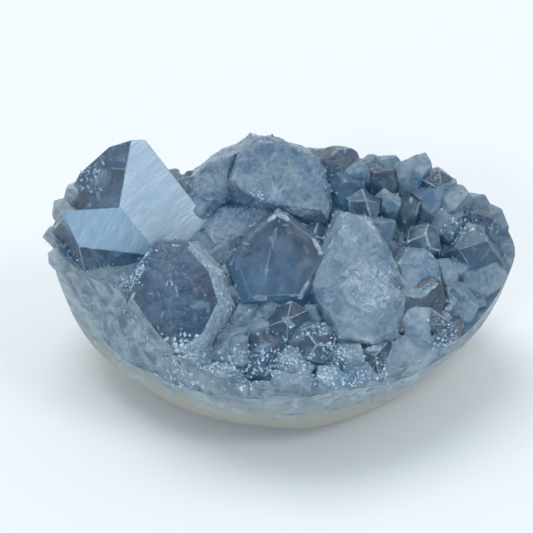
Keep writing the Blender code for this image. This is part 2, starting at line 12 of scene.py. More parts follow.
import bmesh
import bpy
from bpy.props import FloatProperty
from bpy.props import FloatVectorProperty
from bpy.props import PointerProperty
from mathutils import Euler
from mathutils import Matrix
from mathutils import Vector
from mathutils import noise
from mathutils.bvhtree import BVHTree

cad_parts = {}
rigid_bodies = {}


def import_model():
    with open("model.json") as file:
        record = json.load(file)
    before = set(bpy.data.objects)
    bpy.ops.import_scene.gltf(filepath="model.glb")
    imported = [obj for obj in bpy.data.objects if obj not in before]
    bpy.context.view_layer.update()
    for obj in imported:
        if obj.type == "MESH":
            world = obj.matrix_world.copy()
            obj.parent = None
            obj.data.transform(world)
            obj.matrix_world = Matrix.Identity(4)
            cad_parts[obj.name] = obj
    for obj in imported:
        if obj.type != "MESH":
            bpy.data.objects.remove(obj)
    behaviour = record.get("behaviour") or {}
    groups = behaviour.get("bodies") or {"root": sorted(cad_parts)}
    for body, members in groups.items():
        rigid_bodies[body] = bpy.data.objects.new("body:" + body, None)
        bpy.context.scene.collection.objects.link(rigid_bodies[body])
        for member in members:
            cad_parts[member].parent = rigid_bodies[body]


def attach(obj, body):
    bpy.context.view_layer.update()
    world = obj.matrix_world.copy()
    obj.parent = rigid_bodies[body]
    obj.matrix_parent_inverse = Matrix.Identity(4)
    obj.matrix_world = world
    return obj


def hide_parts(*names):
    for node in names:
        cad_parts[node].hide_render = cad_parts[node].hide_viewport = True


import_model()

bl_info = {
    "name": "Celestite geode",
    "version": (1, 0, 0),
    "blender": (4, 5, 0),
    "location": "3D View > Sidebar > Geode",
    "description": "Builds a celestite geode and the pale table it rests on",
    "category": "Add Mesh",
}

# Units
MM = 0.001
PER_METRE = 1000.0
DOWN = Vector((0.0, 0.0, -1.0))

# Overall shape of the geode
LEFT_REACH = 63.1
RIGHT_REACH = 61.4
FRONT_REACH = 46.4
BACK_REACH = 30.0
DEPTH_BELOW = 41.0
BASE_SHIFT = 9.0
BASE_SHIFT_POWER = 5.0
ROOM_ABOVE = 46.0
ROOM_FLARE = 0.3
ROOM_STEEPNESS = 1.3
ROOM_TOP = 0.99
MIDDLE_X = 1.4
FRONT_SKEW = 4.6
LEFT_ROUNDNESS = 1.87
RIGHT_ROUNDNESS = 1.48
BACK_ROUNDNESS = 2.0
LEFT_BACK_ROUNDNESS = 2.4
SIDE_ROUNDNESS = 3.0
LUMP_HEIGHT = 0.4

# Sides that are worn in: how deep, at which bearing and how far round, in degrees
LEFT_WORN = 12.0
LEFT_WORN_BEARING = -162.0
LEFT_SPREAD_FRONT = 30.0
LEFT_SPREAD_BACK = 14.0
FRONT_WORN = 3.0
FRONT_WORN_BEARING = -95.0
FRONT_SPREAD = 24.0
BACK_DENT = 6.0
BACK_DENT_BEARING = 133.0
BACK_DENT_SPREAD = 13.0
WORN_FROM = -20.0
WORN_TO = 2.0

# Stance
FORWARD_LEAN = 18.0
RIM_HEIGHT = 39.8
CENTRE_X = 0.07
CENTRE_Y = -3.73

# Rind under the crystals, with its swells: height, x, t, how wide and how deep
RIND_LEVEL = -8.5
RIND_RIPPLE = 1.3
RIND_SWELLS = [
    (7.5, 10.0, -44.0, 24.0, 12.0),
    (-5.0, -42.0, -28.0, 15.0, 16.0),
    (12.0, -66.0, 6.0, 9.0, 16.0),
    (4.0, -20.0, 32.0, 40.0, 8.0),
    (-4.0, 54.0, -12.0, 14.0, 18.0),
]
SHEET_MARGIN_X = 12.0
SHEET_MARGIN_T = 9.0
SHEET_TOP = 90.0
SHEET_BOTTOM = -60.0

# Crystal bed, with its swells: height, x, t, how wide and how deep
BED_LEVEL = 0.5
BED_RIPPLE = 0.9
BED_SWELLS = [
    (3.0, 4.0, 12.0, 30.0, 14.0),
    (-4.5, -24.0, 28.0, 9.0, 9.0),
    (-2.5, 8.0, -42.0, 34.0, 10.0),
    (-7.0, 54.0, -16.0, 15.0, 22.0),
]
LEAST_BED = 1.6

# Narrow facets round the broad faces
EDGE_WIDTH = 1.1
EDGE_SLANT = 48.0
EDGE_VARIATION = 0.6
EDGE_CHANGE = 2.3

# Blocks that the crystals are cut from
POINTED_BLOCK = 80.0
TOUCHING = 0.0005

# Rough crystals: least and most of each uneven measure
WALL_COUNTS = [5, 6, 6, 7]
WALL_TURN = 11.0
WALL_FLARE = (4.0, 10.0)
WALL_REACH = (0.82, 1.08)
ROOF_COUNTS = [3, 4, 4]
ROOF_TURN = 18.0
ROOF_SLOPE = (38.0, 64.0)
ROOF_REACH = (0.0, 0.18)
ROOF_DROP = 0.12
LEAST_STAND = 2.0
CRYSTAL_ROOT = 3.5

# Small crystals, in rows over the bed
FILL_SEED = 41
FILL_SPACING = 6.2
FILL_ROW_SHARE = 0.87
FILL_LEFT = -68.0
FILL_COLUMNS = 22
FILL_FRONT = -50.0
FILL_DEPTH = 90.0
FILL_SHIFT_X = 1.4
FILL_SHIFT_T = 1.2
FILL_WIDTH = 7.6
FILL_SIZES = (0.8, 1.25)
FILL_LEAN = (4.0, 16.0)
FILL_RIM_LEAN = 14.0
FILL_ABOVE = (2.2, 5.0)
ROOM_ROUND_LARGE = 0.8
ROOM_ROUND_POINTED = 8.0
ROOM_ROUND_MIDDLE = 0.42

# Fineness of the dressed pieces: segments and rings, or columns and rows
SHELL_FINENESS = (176, 72)
RIND_FINENESS = (224, 96)
BED_SHEET = (96, 72)
CRYSTAL_SHEET = (130, 96)
RIND_SHEET = (160, 120)

# Gaps between the dressed pieces and inside the solids
SEAM = 0.05
SIDE_GAP = 0.2
MILKY_GAP = 0.26
CLEAR_GAP = 0.28
UNDER_CRUST = 0.8

# Crumbled roots under the clear crystals, and the rind: rise, level in the noise and size
ROOT_DEPTH = 2.6
ROOT_LUMPS = ((1.0, 3.0, 3.4), (0.8, 5.0, 1.5))
RIND_UNDER_ROOTS = 2.2
RIND_LUMPS = ((0.6, 0.0, 4.0), (0.5, 9.0, 1.7))
RISE_FROM = 0.9
RISE_WIDTH = 0.16

# Wear and shading of the edges
SHARP_FROM = 24.0
EDGE_STRIP = 0.34
KNOB_WEAR = 0.4
ROUND_STEPS = 3
FLAT_ANGLE = 0.4
CLOSE_TOGETHER = 0.01
RESTING_BLOCK = 0.2

# Uneven faces: longest edge in sight and out of it, and the size of the swells and ridges
SPLIT_ROUNDS = 5
LARGE_EDGE = 1.1
MIDDLE_EDGE = 1.0
SMALL_EDGE = 1.2
HIDDEN_EDGE = 8.0
SIGHT_DEPTH = 2.0
SIGHT_REACH = 1.05
SWELL_SIZE = 5.2
SWELL_SINK = 0.25
RIDGE_SIZE = 3.1
RIDGES = (0.9, 2.2, 3, 1.0, 2.0)
CRUMPLE_SHARE = 0.4
SMALL_SWELL_SHARE = 0.6

# Growth lines: how far each crystal's own map is shifted, and their way on two sorts
GRAIN_SHIFT = Vector((37.0, 91.0))
ALIGNED = 0.05
TALL_GRAIN = Vector((0.77, 0.52, 0.37))
LARGE_GRAIN = Vector((0.3, 0.9, 0.1))
ACROSS = Vector((1.0, 0.0, 0.0))
PLAIN_TONE = 0.5

# Crystals that are clear to the bottom; the others are milky
CLEAR_LARGE = {"dark_hexagon", "middle_block", "clear_right", "tall_point", "low_prism"}
CLEAR_MIDDLE = {0, 2, 4, 6, 9, 11, 14, 16, 17, 20, 23, 25, 27, 29, 33, 41}

# Tone of some large crystals, from 0 for dark to 1 for light
LARGE_TONES = {
    "tall_point": 1.0,
    "low_prism": 0.25,
    "dark_hexagon": 0.0,
    "middle_block": 0.6,
    "blue_dome": 0.55,
    "fractured_block": 0.8,
}

# Large crystals with uneven faces: how far they swell and how deeply they are crumpled
UNEVEN = {
    "blue_dome": (0.9, 0.9),
    "fractured_block": (0.6, 0.7),
    "round_right": (0.8, 0.4),
    "back_left_block": (0.7, 0.6),
    "layered_slab": (0.4, 0.7),
}

# Breaks: x, t, n of the middle, radius, flatness and the way it faces
CHIP_SEED = 5
CHIP_SEED_STEP = 3.1
CHIP_FINENESS = 4
CHIP_GRAIN = 1.9
CHIP_BODY = 0.86
CHIP_CRUMPLE = 0.1
CHIP_RIDGES = (0.8, 2.1, 4, 1.0, 2.0)
CHIP_RIPPLE = 0.03
CHIP_RIPPLES = 9.0
CHIP_SLANT = 0.4
CHIPS = [
    (22.3, -17.4, 9.2, 8.2, 0.5, -85.0, 70.0),
    (18.0, -4.6, 13.6, 4.6, 0.45, -85.0, 70.0),
    (29.0, -13.5, 10.0, 4.4, 0.5, -50.0, 60.0),
]

# Scars along the edges of the broad crystals: least and most of each measure
SCARS_PER_EDGE = 2
SCAR_SHARE = 0.7
UNSCARRED = {"layered_slab", "back_left_block"}
SCAR_FINENESS = 3
SCAR_LENGTH = (1.6, 5.0)
SCAR_WIDTH = (0.9, 1.8)
SCAR_HEIGHT = (0.8, 2.0)
SCAR_DEPTH = (0.2, 0.55)
SCAR_BODY = 0.94
SCAR_SEEDS = (0.0, 50.0)
SCAR_TILT = (0.7, 1.6)

# Crumbs: how they are cut, where they lie in the crevices and how they are turned
CRUMB_SEED = 9
CRUMB_MODELS = 8
CRUMB_CUTS = 7
CRUMB_RISE = (-60.0, 80.0)
CRUMB_REACH = (0.28, 0.46)
CRUMB_ACROSS = 0.8
CRUMB_SIZES = (0.5, 1.5)
CRUMB_SINK = 0.12
PATCH_DEPTH = 0.7
ABOVE_ALL = 60.0
BED_X = (-60.0, 60.0)
BED_T = (-46.0, 30.0)
CREVICE_TRIES = 9000
CREVICE_DEPTH = 0.9
CREVICE_SIZES = (0.2, 0.6)
CREVICE_WIDTH = 2.2
CREVICE_RIM = 0.985
AROUND = ((1, 0), (-1, 0), (0, 1), (0, -1))
FULL_TURN = 6.28

# Patches of crumbs: x, t, spread, count and size
CRUMB_PATCHES = [
    (-26.5, -34.5, 3.2, 187, 0.6),
    (-21.0, -37.0, 3.0, 136, 0.54),
    (-8.5, -36.5, 3.4, 170, 0.54),
    (1.5, -36.5, 3.2, 136, 0.54),
    (12.0, -39.5, 4.0, 153, 0.48),
    (22.0, -38.5, 4.0, 136, 0.48),
    (43.0, -27.0, 2.6, 102, 0.48),
    (-38.0, -13.5, 2.0, 153, 0.42),
    (-34.5, -9.0, 1.4, 85, 0.42),
    (-15.5, -12.0, 1.8, 85, 0.42),
    (-13.5, -22.0, 1.8, 85, 0.42),
    (-6.0, 6.5, 2.0, 85, 0.36),
    (9.0, -27.0, 2.0, 68, 0.42),
    (13.0, -33.0, 2.5, 102, 0.48),
    (-52.0, 14.0, 3.5, 102, 0.54),
    (48.0, 2.0, 2.5, 85, 0.42),
]

# Flaws strewn in the clear crystals: least and most of each measure
FLAW_TRIES = 1500
FLAW_DEPTHS = (0.06, 0.7)
FLAW_SIZES = (0.8, 3.2)
FLAKE_SHARE = 0.35
FLAKE_WIDTHS = (0.25, 0.7)
FLAKE_THICKNESS = 0.06
NEEDLE_WIDTHS = (0.1, 0.2)
LEAST_CLEAR = 2.0
FLAW_START = 0.01
FLAW_SINK = 0.3
FLAW_ROOM = 0.4

# Flaws along lines: from, to, with count, spread, length and width
LINE_THICKNESS = 0.08
LINE_TURN = 0.12
LINE_LENGTHS = (0.3, 1.0)
LINE_WIDTHS = (0.5, 1.2)
FLAW_LINES = [
    ((-49.7, -1.5, 1.9), (-44.5, -7.0, -2.6), 9, 0.5, 6.0, 0.3),
    ((-44.5, -7.0, -2.6), (-39.3, -10.8, -5.5), 9, 0.5, 5.0, 0.3),
    ((-0.2, 0.2, 12.6), (-2.9, -10.3, 8.8), 8, 0.25, 4.5, 0.5),
    ((-2.9, -10.3, 8.8), (-3.9, -14.2, 7.0), 7, 0.25, 2.6, 0.6),
    ((-30.0, -12.0, 10.0), (-24.0, -28.0, 4.0), 16, 4.0, 1.6, 0.16),
    ((-26.0, -12.0, 9.0), (-30.0, -28.0, 4.0), 16, 4.0, 1.6, 0.16),
]

# What a face of the crystals is like
CLEAR = 0
FROSTED = 1
FRACTURED = 2
WORN = 3
UNDER = 4
EDGE = 5

# The large crystals that show a broad face: corners of the face (x, t), the face's bearing
# and rise, the height of the face over its first corner, how far its sides lean out and
# how long the crystal is.
BROAD_CRYSTALS = {
    "dark_hexagon": {
        "corners": [
            (-31.0, -8.0), (-23.6, -8.6), (-17.8, -15.2), (-15.2, -22.6), (-19.6, -31.4),
            (-24.4, -34.2), (-33.0, -30.6), (-37.6, -21.0), (-35.4, -14.0),
        ],
        "bearing": -106.0, "rise": 70.0, "top": 13.4, "flare": 16.0, "length": 22.0,
    },
    "middle_block": {
        "corners": [
            (-0.2, 1.4), (7.9, -3.9), (11.6, -9.4), (5.4, -19.0), (-8.2, -19.4), (-11.6, -10.6),
            (-7.8, -4.0),
        ],
        "bearing": -91.0, "rise": 68.0, "top": 14.2, "flare": 14.0, "length": 22.0,
    },
    "blue_dome": {
        "corners": [
            (-4.6, 21.0), (2.2, 20.8), (9.6, 18.0), (12.6, 10.6), (12.4, 3.8), (-1.1, 5.0),
            (-9.4, 7.7), (-12.5, 11.0), (-10.4, 16.1),
        ],
        "bearing": -74.0, "rise": 66.0, "top": 18.8, "flare": 17.0, "length": 26.0,
    },
    "fractured_block": {
        "corners": [
            (16.4, 1.4), (22.9, 0.2), (27.6, -7.6), (31.6, -16.8), (30.2, -28.0), (24.3, -30.8),
            (15.2, -29.4), (10.6, -20.4), (9.4, -13.8),
        ],
        "bearing": -85.0, "rise": 70.0, "top": 14.1, "flare": 13.0, "length": 24.0,
    },
    "clear_right": {
        "corners": [
            (30.6, -21.0), (36.0, -15.6), (41.8, -12.3), (43.8, -17.5), (40.1, -24.0),
            (31.6, -27.4),
        ],
        "bearing": -60.0, "rise": 55.0, "top": 3.8, "flare": 16.0, "length": 18.0,
    },
    "round_right": {
        "corners": [
            (30.6, -10.4), (32.8, -5.8), (37.9, -5.2), (41.4, -9.0), (40.6, -14.2),
            (35.7, -16.4), (31.0, -15.2),
        ],
        "bearing": -80.0, "rise": 72.0, "top": 6.2, "flare": 18.0, "length": 18.0,
    },
    "back_left_block": {
        "corners": [
            (-24.2, 8.8), (-23.2, 13.7), (-18.2, 16.0), (-13.8, 15.8), (-14.6, 9.2),
            (-19.4, 4.6),
        ],
        "bearing": -120.0, "rise": 50.0, "top": 8.3, "flare": 15.0, "length": 20.0,
    },
    "layered_slab": {
        "corners": [
            (-20.4, 1.7), (-15.2, 7.8), (-4.5, 7.2), (3.2, 6.9), (-2.7, 2.8), (-11.5, -1.8),
            (-17.5, -3.0),
        ],
        "bearing": -95.0, "rise": 72.0, "top": 6.1, "flare": 12.0, "length": 14.0,
    },
}

# The tall pointed crystal and the low prism before it: the middle of the block, and facets
# with their bearing, their rise and a point that they pass through.
POINTED_CRYSTALS = {
    "tall_point": {
        "middle": (-37.0, 6.0, 4.0),
        "facets": [
            (-81.0, 46.0, (-38.4, 18.6, 22.0)),
            (-129.0, 46.0, (-38.4, 18.6, 22.0)),
            (36.0, 16.0, (-27.0, 12.0, 14.0)),
            (95.0, 14.0, (-41.5, 18.8, 20.3)),
            (120.0, 10.0, (-48.6, 17.3, 15.0)),
            (150.0, 13.0, (-55.0, 13.0, 8.0)),
            (-170.0, 12.0, (-59.5, 6.0, 0.0)),
            (-12.0, 8.0, (-17.0, 0.0, 5.0)),
            (-90.0, -60.0, (-37.0, -14.0, -10.0)),
        ],
    },
    "low_prism": {
        "middle": (-45.0, -4.0, -2.0),
        "facets": [
            (-60.0, 52.0, (-41.8, 5.6, 10.2)),
            (-75.0, 29.0, (-54.3, -4.9, 8.0)),
            (-138.0, 12.6, (-57.0, 1.0, 8.0)),
            (100.0, 14.0, (-41.8, 5.6, 10.2)),
            (174.0, 24.0, (-58.0, 3.0, 7.0)),
            (0.0, 20.0, (-31.0, -6.0, 0.0)),
            (90.0, 10.0, (-44.0, 9.0, 0.0)),
            (-90.0, -70.0, (-45.0, -10.0, -14.0)),
        ],
    },
}

# Middling crystals: x, t, height of the tip, width, bearing of the lean, lean and turn.
MIDDLE_CRYSTALS = [
    (15.9, 22.6, 12.2, 10.6, 60, 12, 20),
    (22.4, 17.6, 11.0, 7.6, -20, 16, 75),
    (29.3, 17.4, 10.5, 7.8, 20, 14, 130),
    (36.4, 21.2, 12.0, 8.6, 70, 18, 40),
    (43.0, 18.2, 10.0, 7.6, 40, 22, 95),
    (29.4, 9.6, 9.5, 7.4, -70, 10, 10),
    (34.8, 9.3, 9.0, 6.4, 10, 8, 60),
    (42.4, 13.4, 9.0, 11.0, -40, 14, 15),
    (50.0, 12.6, 7.0, 9.6, 10, 26, 110),
    (56.6, 5.6, 6.0, 9.0, 0, 30, 30),
    (45.4, 3.6, 7.0, 8.6, -60, 16, 50),
    (53.6, -2.2, 6.5, 12.0, -30, 20, 85),
    (49.0, -8.6, 3.5, 8.6, -80, 22, 5),
    (56.0, -10.0, 4.0, 10.0, -20, 30, 60),
    (38.0, -1.6, 8.5, 8.0, -100, 10, 25),
    (26.6, 1.4, 9.5, 7.6, -70, 8, 70),
    (18.4, 13.0, 11.5, 9.6, -80, 12, 45),
    (22.6, 7.4, 10.5, 8.0, -60, 12, 100),
    (43.8, -10.6, 4.5, 7.6, -60, 20, 15),
    (49.0, -17.6, 2.5, 10.0, -40, 28, 75),
    (43.6, -24.6, 2.5, 11.6, -55, 30, 35),
    (36.4, -27.2, 3.5, 10.6, -70, 28, 5),
    (32.2, -35.4, 1.5, 10.6, -70, 30, 55),
    (24.6, -35.0, 2.6, 11.0, -85, 24, 95),
    (17.2, -35.4, 3.4, 9.6, -90, 22, 20),
    (9.4, -31.6, 4.6, 9.6, -90, 16, 65),
    (3.2, -38.8, 4.5, 9.8, -95, 24, 30),
    (-4.4, -35.6, 6.0, 12.0, -95, 22, 80),
    (-11.0, -33.6, 5.0, 8.6, -110, 18, 15),
    (1.8, -26.4, 7.0, 10.0, -90, 14, 50),
    (-22.6, -36.4, 4.5, 11.0, -110, 24, 40),
    (-31.6, -34.6, 3.0, 10.0, -115, 26, 90),
    (-36.2, -28.4, 5.0, 7.6, -130, 22, 25),
    (-42.6, -24.6, 2.0, 9.6, -130, 28, 60),
    (-48.6, -18.0, -2.0, 9.6, -135, 28, 10),
    (-53.6, -9.4, -1.0, 9.6, -150, 26, 45),
    (-14.6, -41.0, 1.5, 9.6, -105, 30, 70),
    (-24.4, -41.0, 0.0, 9.0, -110, 34, 20),
    (12.6, -42.6, 1.5, 9.6, -85, 30, 85),
    (22.2, -41.6, 1.0, 9.6, -80, 32, 35),
    (-21.8, 10.4, 10.0, 7.2, 110, 14, 55),
    (8.2, -1.4, 8.0, 9.0, -90, 8, 35),
    (-14.0, -3.4, 6.5, 9.0, -80, 10, 5),
    (-54.6, 12.2, 6.5, 9.6, 140, 22, 65),
    (-58.4, 4.0, 3.5, 8.0, 175, 24, 20),
    (-27.0, -2.0, 5.0, 9.6, -60, 12, 75),
    (-46.0, 20.5, 7.5, 9.0, 100, 20, 30),
    (-37.0, 22.6, 8.0, 9.0, 90, 22, 70),
    (-30.6, 22.4, 2.6, 7.0, 110, 20, 40),
    (-8.0, 26.5, 8.5, 9.5, 95, 18, 15),
    (1.5, 27.5, 8.8, 10.0, 90, 20, 50),
    (10.4, 26.8, 6.4, 8.6, 85, 20, 80),
    (26.0, 24.8, 7.0, 8.6, 80, 20, 10),
]

# Knobs of rind at the left end: x, t, height of the top and width.
RIND_KNOBS = [
    (-59.2, 8.6, 6.8, 6.4),
    (-60.4, 3.2, 3.4, 6.6),
    (-59.8, -2.2, 1.6, 5.8),
    (-56.0, 13.2, 8.2, 6.2),
]
KNOB_SEED = 7
KNOB_LENGTH = 1.1
KNOB_BEARING = 180.0
KNOB_LEAN = 30.0
KNOB_TURN = 20.0

# Finishes: how dense the milky crystals are beside the clear ones, how the flecks of the
# rind are drawn out, where its lower skin starts, in mm, and the shade of the table's weave
MILKY_DENSITY = 0.6
FLECK_SCALE = (0.5, 0.5, 1.6)
BEIGE_FROM = (22.0, 14.0)
BEIGE_RAGGED = 6.0
TABLE_SHADE = 0.985

# Room that the geode stands in: table, tints of the room, where they change, and lights
TABLE_SIZE = 6.0
ROOM_DARK = (0.1, 0.18, 0.26)
ROOM_LOW = (0.9, 1.1, 1.3)
ROOM_BACK = (0.95, 0.98, 1.0)
ROOM_STRENGTH = 0.8
BACK_FROM = (-0.75, 0.35)
LOW_FROM = (0.56, 0.3)
LIGHT_COLOUR = (0.95, 0.98, 1.0)
LIGHT_AIM = Vector((0.0, 0.0, 0.03))
LIGHTS = (
    ("over_light", (-0.5, 0.7, 2.2), 1.6, 22.0),
    ("side_light", (1.6, -0.6, 1.6), 0.6, 9.0),
    ("front_light", (-0.7, -1.6, 1.3), 0.3, 6.0),
)

# Camera: how far it looks down, in degrees, what it looks at and from how far, in metres
CAMERA_DOWN = 40.0
CAMERA_AIM = Vector((-0.00337, 0.00026, 0.03566))
CAMERA_DISTANCE = 0.45
CAMERA_LENS = 114.9
CAMERA_SENSOR = 36.0
CAMERA_CLIP = (0.01, 20.0)


def rim_to_world():
    """Matrix that leans the level frame forward, lifts it and turns millimetres to metres."""
    lean = Matrix.Rotation(math.radians(FORWARD_LEAN), 4, "X")
    lift = Matrix.Translation((-CENTRE_X, -CENTRE_Y, RIM_HEIGHT))
    scale = Matrix.Diagonal((MM, MM, MM, 1.0))
    return scale @ lift @ lean


def direction(bearing, rise):
    """Unit vector from a bearing in plan and a rise above it, in degrees."""
    turn = math.radians(bearing)
    lift = math.radians(rise)
    flat = math.cos(lift)
    return Vector((flat * math.cos(turn), flat * math.sin(turn), math.sin(lift)))


def ripple(x, t, phase):
    """Gentle uneven height between -1 and 1."""
    wave = math.sin(0.21 * x + 1.7 * phase) * math.cos(0.25 * t - 0.9 * phase)
    small = math.sin(0.47 * x - 0.31 * t + phase) * 0.55
    return (wave + small) / 1.55


def bump(x, t, at_x, at_t, wide, deep):
    """A rounded bump of height one."""
    return math.exp(-(((x - at_x) / wide) ** 2) - (((t - at_t) / deep) ** 2))


def rind_height(x, t):
    """Height of the top of the rind."""
    height = RIND_LEVEL + RIND_RIPPLE * ripple(x, t, 0.4)
    for swell, *place in RIND_SWELLS:
        height += swell * bump(x, t, *place)
    return height


def bed_height(x, t):
    """Height of the bed the crystals stand in."""
    height = BED_LEVEL + BED_RIPPLE * ripple(x, t, 2.3)
    for swell, *place in BED_SWELLS:
        height += swell * bump(x, t, *place)
    return max(height, rind_height(x, t) + LEAST_BED)


def plan_reach(x, t):
    """Size of the rim outline that passes through a point, 1 on the rim itself."""
    if t < 0.0:
        x = x + FRONT_SKEW * t / FRONT_REACH
    x = x - MIDDLE_X
    if t > 0.0:
        roundness = LEFT_BACK_ROUNDNESS if x < 0.0 else BACK_ROUNDNESS
    elif x < 0.0:
        roundness = LEFT_ROUNDNESS
    else:
        roundness = RIGHT_ROUNDNESS
    along = abs(x) / (LEFT_REACH if x < 0.0 else RIGHT_REACH)
    across = abs(t) / (BACK_REACH if t > 0.0 else FRONT_REACH)
    return (along**roundness + across**roundness) ** (1.0 / roundness)


def turn_from(bearing, middle):
    """Angle from one bearing to another, between -180 and 180 degrees."""
    return (bearing - middle + 180.0) % 360.0 - 180.0


def worn_depth(bearing, height):
    """How far the worn sides lean in towards the rim."""
    from_left = turn_from(bearing, LEFT_WORN_BEARING)
    from_front = turn_from(bearing, FRONT_WORN_BEARING)
    from_dent = turn_from(bearing, BACK_DENT_BEARING)
    left_spread = LEFT_SPREAD_FRONT if from_left > 0.0 else LEFT_SPREAD_BACK
    depth = LEFT_WORN * math.exp(-((from_left / left_spread) ** 2))
    depth += FRONT_WORN * math.exp(-((from_front / FRONT_SPREAD) ** 2))
    depth += BACK_DENT * math.exp(-((from_dent / BACK_DENT_SPREAD) ** 2))
    rise = (height - WORN_FROM) / (WORN_TO - WORN_FROM)
    return depth * min(max(rise, 0.0), 1.0)


def inside_corners(x, t, corners):
    """True inside the outline through some corners, with a little room round it."""
    mid_x = sum(c[0] for c in corners) / len(corners)
    mid_t = sum(c[1] for c in corners) / len(corners)
    turns = []
    for here, there in zip(corners, corners[1:] + corners[:1]):
        edge_x = there[0] - here[0]
        edge_t = there[1] - here[1]
        towards_x = x - here[0]
        towards_t = t - here[1]
        inner = edge_x * (mid_t - here[1]) - edge_t * (mid_x - here[0])
        turn = edge_x * towards_t - edge_t * towards_x
        distance = turn / math.hypot(edge_x, edge_t) * (1.0 if inner > 0.0 else -1.0)
        turns.append(distance > -ROOM_ROUND_LARGE)
    return all(turns)


def near_large(x, t):
    """True where one of the large or middling crystals already stands."""
    for entry in BROAD_CRYSTALS.values():
        if inside_corners(x, t, entry["corners"]):
            return True
    for entry in POINTED_CRYSTALS.values():
        middle = entry["middle"]
        if math.hypot(x - middle[0], t - middle[1]) < ROOM_ROUND_POINTED:
            return True
    for row in MIDDLE_CRYSTALS:
        if math.hypot(x - row[0], t - row[1]) < row[3] * ROOM_ROUND_MIDDLE:
            return True
    return False


def small_crystals(chance):
    """Small crystals that fill the bed between the large ones, out to the rim."""
    found = []
    row_spacing = FILL_SPACING * FILL_ROW_SHARE
    for row in range(int(FILL_DEPTH / row_spacing)):
        shift = 0.5 * FILL_SPACING * (row % 2)
        for column in range(FILL_COLUMNS):
            x = FILL_LEFT + column * FILL_SPACING + shift
            x += chance.uniform(-FILL_SHIFT_X, FILL_SHIFT_X)
            t = FILL_FRONT + row * FILL_SPACING * FILL_ROW_SHARE
            t += chance.uniform(-FILL_SHIFT_T, FILL_SHIFT_T)
            width = FILL_WIDTH * chance.uniform(*FILL_SIZES)
            lean = chance.uniform(*FILL_LEAN)
            turn = chance.uniform(0.0, 180.0)
            above = chance.uniform(*FILL_ABOVE)
            edge = plan_reach(x, t)
            if edge > 1.0 or near_large(x, t):
                continue
            out = math.degrees(math.atan2(t, x))
            lean += FILL_RIM_LEAN * edge
            found.append((x, t, bed_height(x, t) + above, width, out, lean, turn))
    return found


def crystal_length(row):
    """Length of a rough crystal, from its tip to its root under the bed."""
    return max(row[2] - bed_height(row[0], row[1]), LEAST_STAND) + CRYSTAL_ROOT


# Shared ways of working


def deselect():
    """Clears the selection, so that an operator acts only on what follows."""
    for thing in bpy.context.selected_objects:
        thing.select_set(False)


def pick(thing):
    """Makes one object the only selected and the active one."""
    deselect()
    thing.select_set(True)
    bpy.context.view_layer.objects.active = thing


def start_block(name, size, middle):
    """Adds a cube at its size and place and opens it for editing."""
    deselect()
    bpy.ops.mesh.primitive_cube_add(size=size, location=middle)
    thing = bpy.context.object
    thing.name = name
    bpy.ops.object.mode_set(mode="EDIT")
    return thing


def slice_off(point, normal):
    """Cuts away what lies beyond a plane and closes the cut with a flat face."""
    bpy.ops.mesh.select_all(action="SELECT")
    bpy.ops.mesh.bisect(
        plane_co=point, plane_no=normal, use_fill=True, clear_outer=True, threshold=TOUCHING
    )


def close_block(thing):
    """Leaves edit mode with the faces outward and the place kept in the mesh."""
    bpy.ops.mesh.select_all(action="SELECT")
    bpy.ops.mesh.normals_make_consistent(inside=False)
    bpy.ops.object.mode_set(mode="OBJECT")
    pick(thing)
    bpy.ops.object.transform_apply(location=True, rotation=True, scale=True)


def soften_edges(thing, width, steps):
    """Bevels all edges of a convex block."""
    pick(thing)
    bpy.ops.object.mode_set(mode="EDIT")
    bpy.ops.mesh.select_all(action="SELECT")
    bpy.ops.mesh.bevel(offset=width, segments=steps, affect="EDGES", clamp_overlap=True)
    bpy.ops.mesh.remove_doubles(threshold=CLOSE_TOGETHER)
    bpy.ops.mesh.select_all(action="SELECT")
    bpy.ops.mesh.convex_hull(join_triangles=False)
    bpy.ops.mesh.select_all(action="SELECT")
    bpy.ops.mesh.dissolve_limited(angle_limit=math.radians(FLAT_ANGLE))
    bpy.ops.mesh.select_all(action="SELECT")
    bpy.ops.mesh.normals_make_consistent(inside=False)
    bpy.ops.object.mode_set(mode="OBJECT")


def strip_width(mesh, face):
    """Rough width of a face: its area over its longest side."""
    places = [mesh.vertices[index].co for index in face.vertices]
    longest = max((there - here).length for here, there in zip(places, places[1:] + places[:1]))
    return face.area / longest


def mark_faces(thing, finish, grain, tone):
    """Gives each face its finish, its own tone and its grain as a map in millimetres."""
    mesh = thing.data
    finishes = mesh.attributes.new("finish", "FLOAT", "FACE")
    tones = mesh.attributes.new("tone", "FLOAT", "FACE")
    grains = mesh.uv_layers.new(name="grain")
    shift = tone * GRAIN_SHIFT
    for face in mesh.polygons:
        kind = finish(face) if callable(finish) else finish
        if kind == CLEAR and strip_width(mesh, face) < EDGE_STRIP:
            kind = EDGE
        finishes.data[face.index].value = float(kind)
        tones.data[face.index].value = tone
        along = grain(face) if callable(grain) else grain
        along = along - face.normal * along.dot(face.normal)
        if along.length < ALIGNED:
            along = face.normal.orthogonal()
        along.normalize()
        across = face.normal.cross(along)
        for loop in face.loop_indices:
            place = mesh.vertices[mesh.loops[loop].vertex_index].co
            grains.data[loop].uv = Vector((place.dot(across), place.dot(along))) + shift


def solid_step(thing, operation, other=None, group=None):
    """Joins, cuts or trims a solid by another or by a group, and applies the result."""
    pick(thing)
    bpy.ops.object.modifier_add(type="BOOLEAN")
    step = thing.modifiers[-1]
    step.operation = operation
    step.solver = "MANIFOLD"
    if group:
        step.operand_type = "COLLECTION"
        step.collection = group
    else:
        step.object = other
    bpy.ops.object.modifier_apply(modifier=step.name)


def remove(thing):
    """Deletes a helper object and its mesh."""
    mesh = thing.data
    bpy.data.objects.remove(thing, do_unlink=True)
    bpy.data.meshes.remove(mesh)


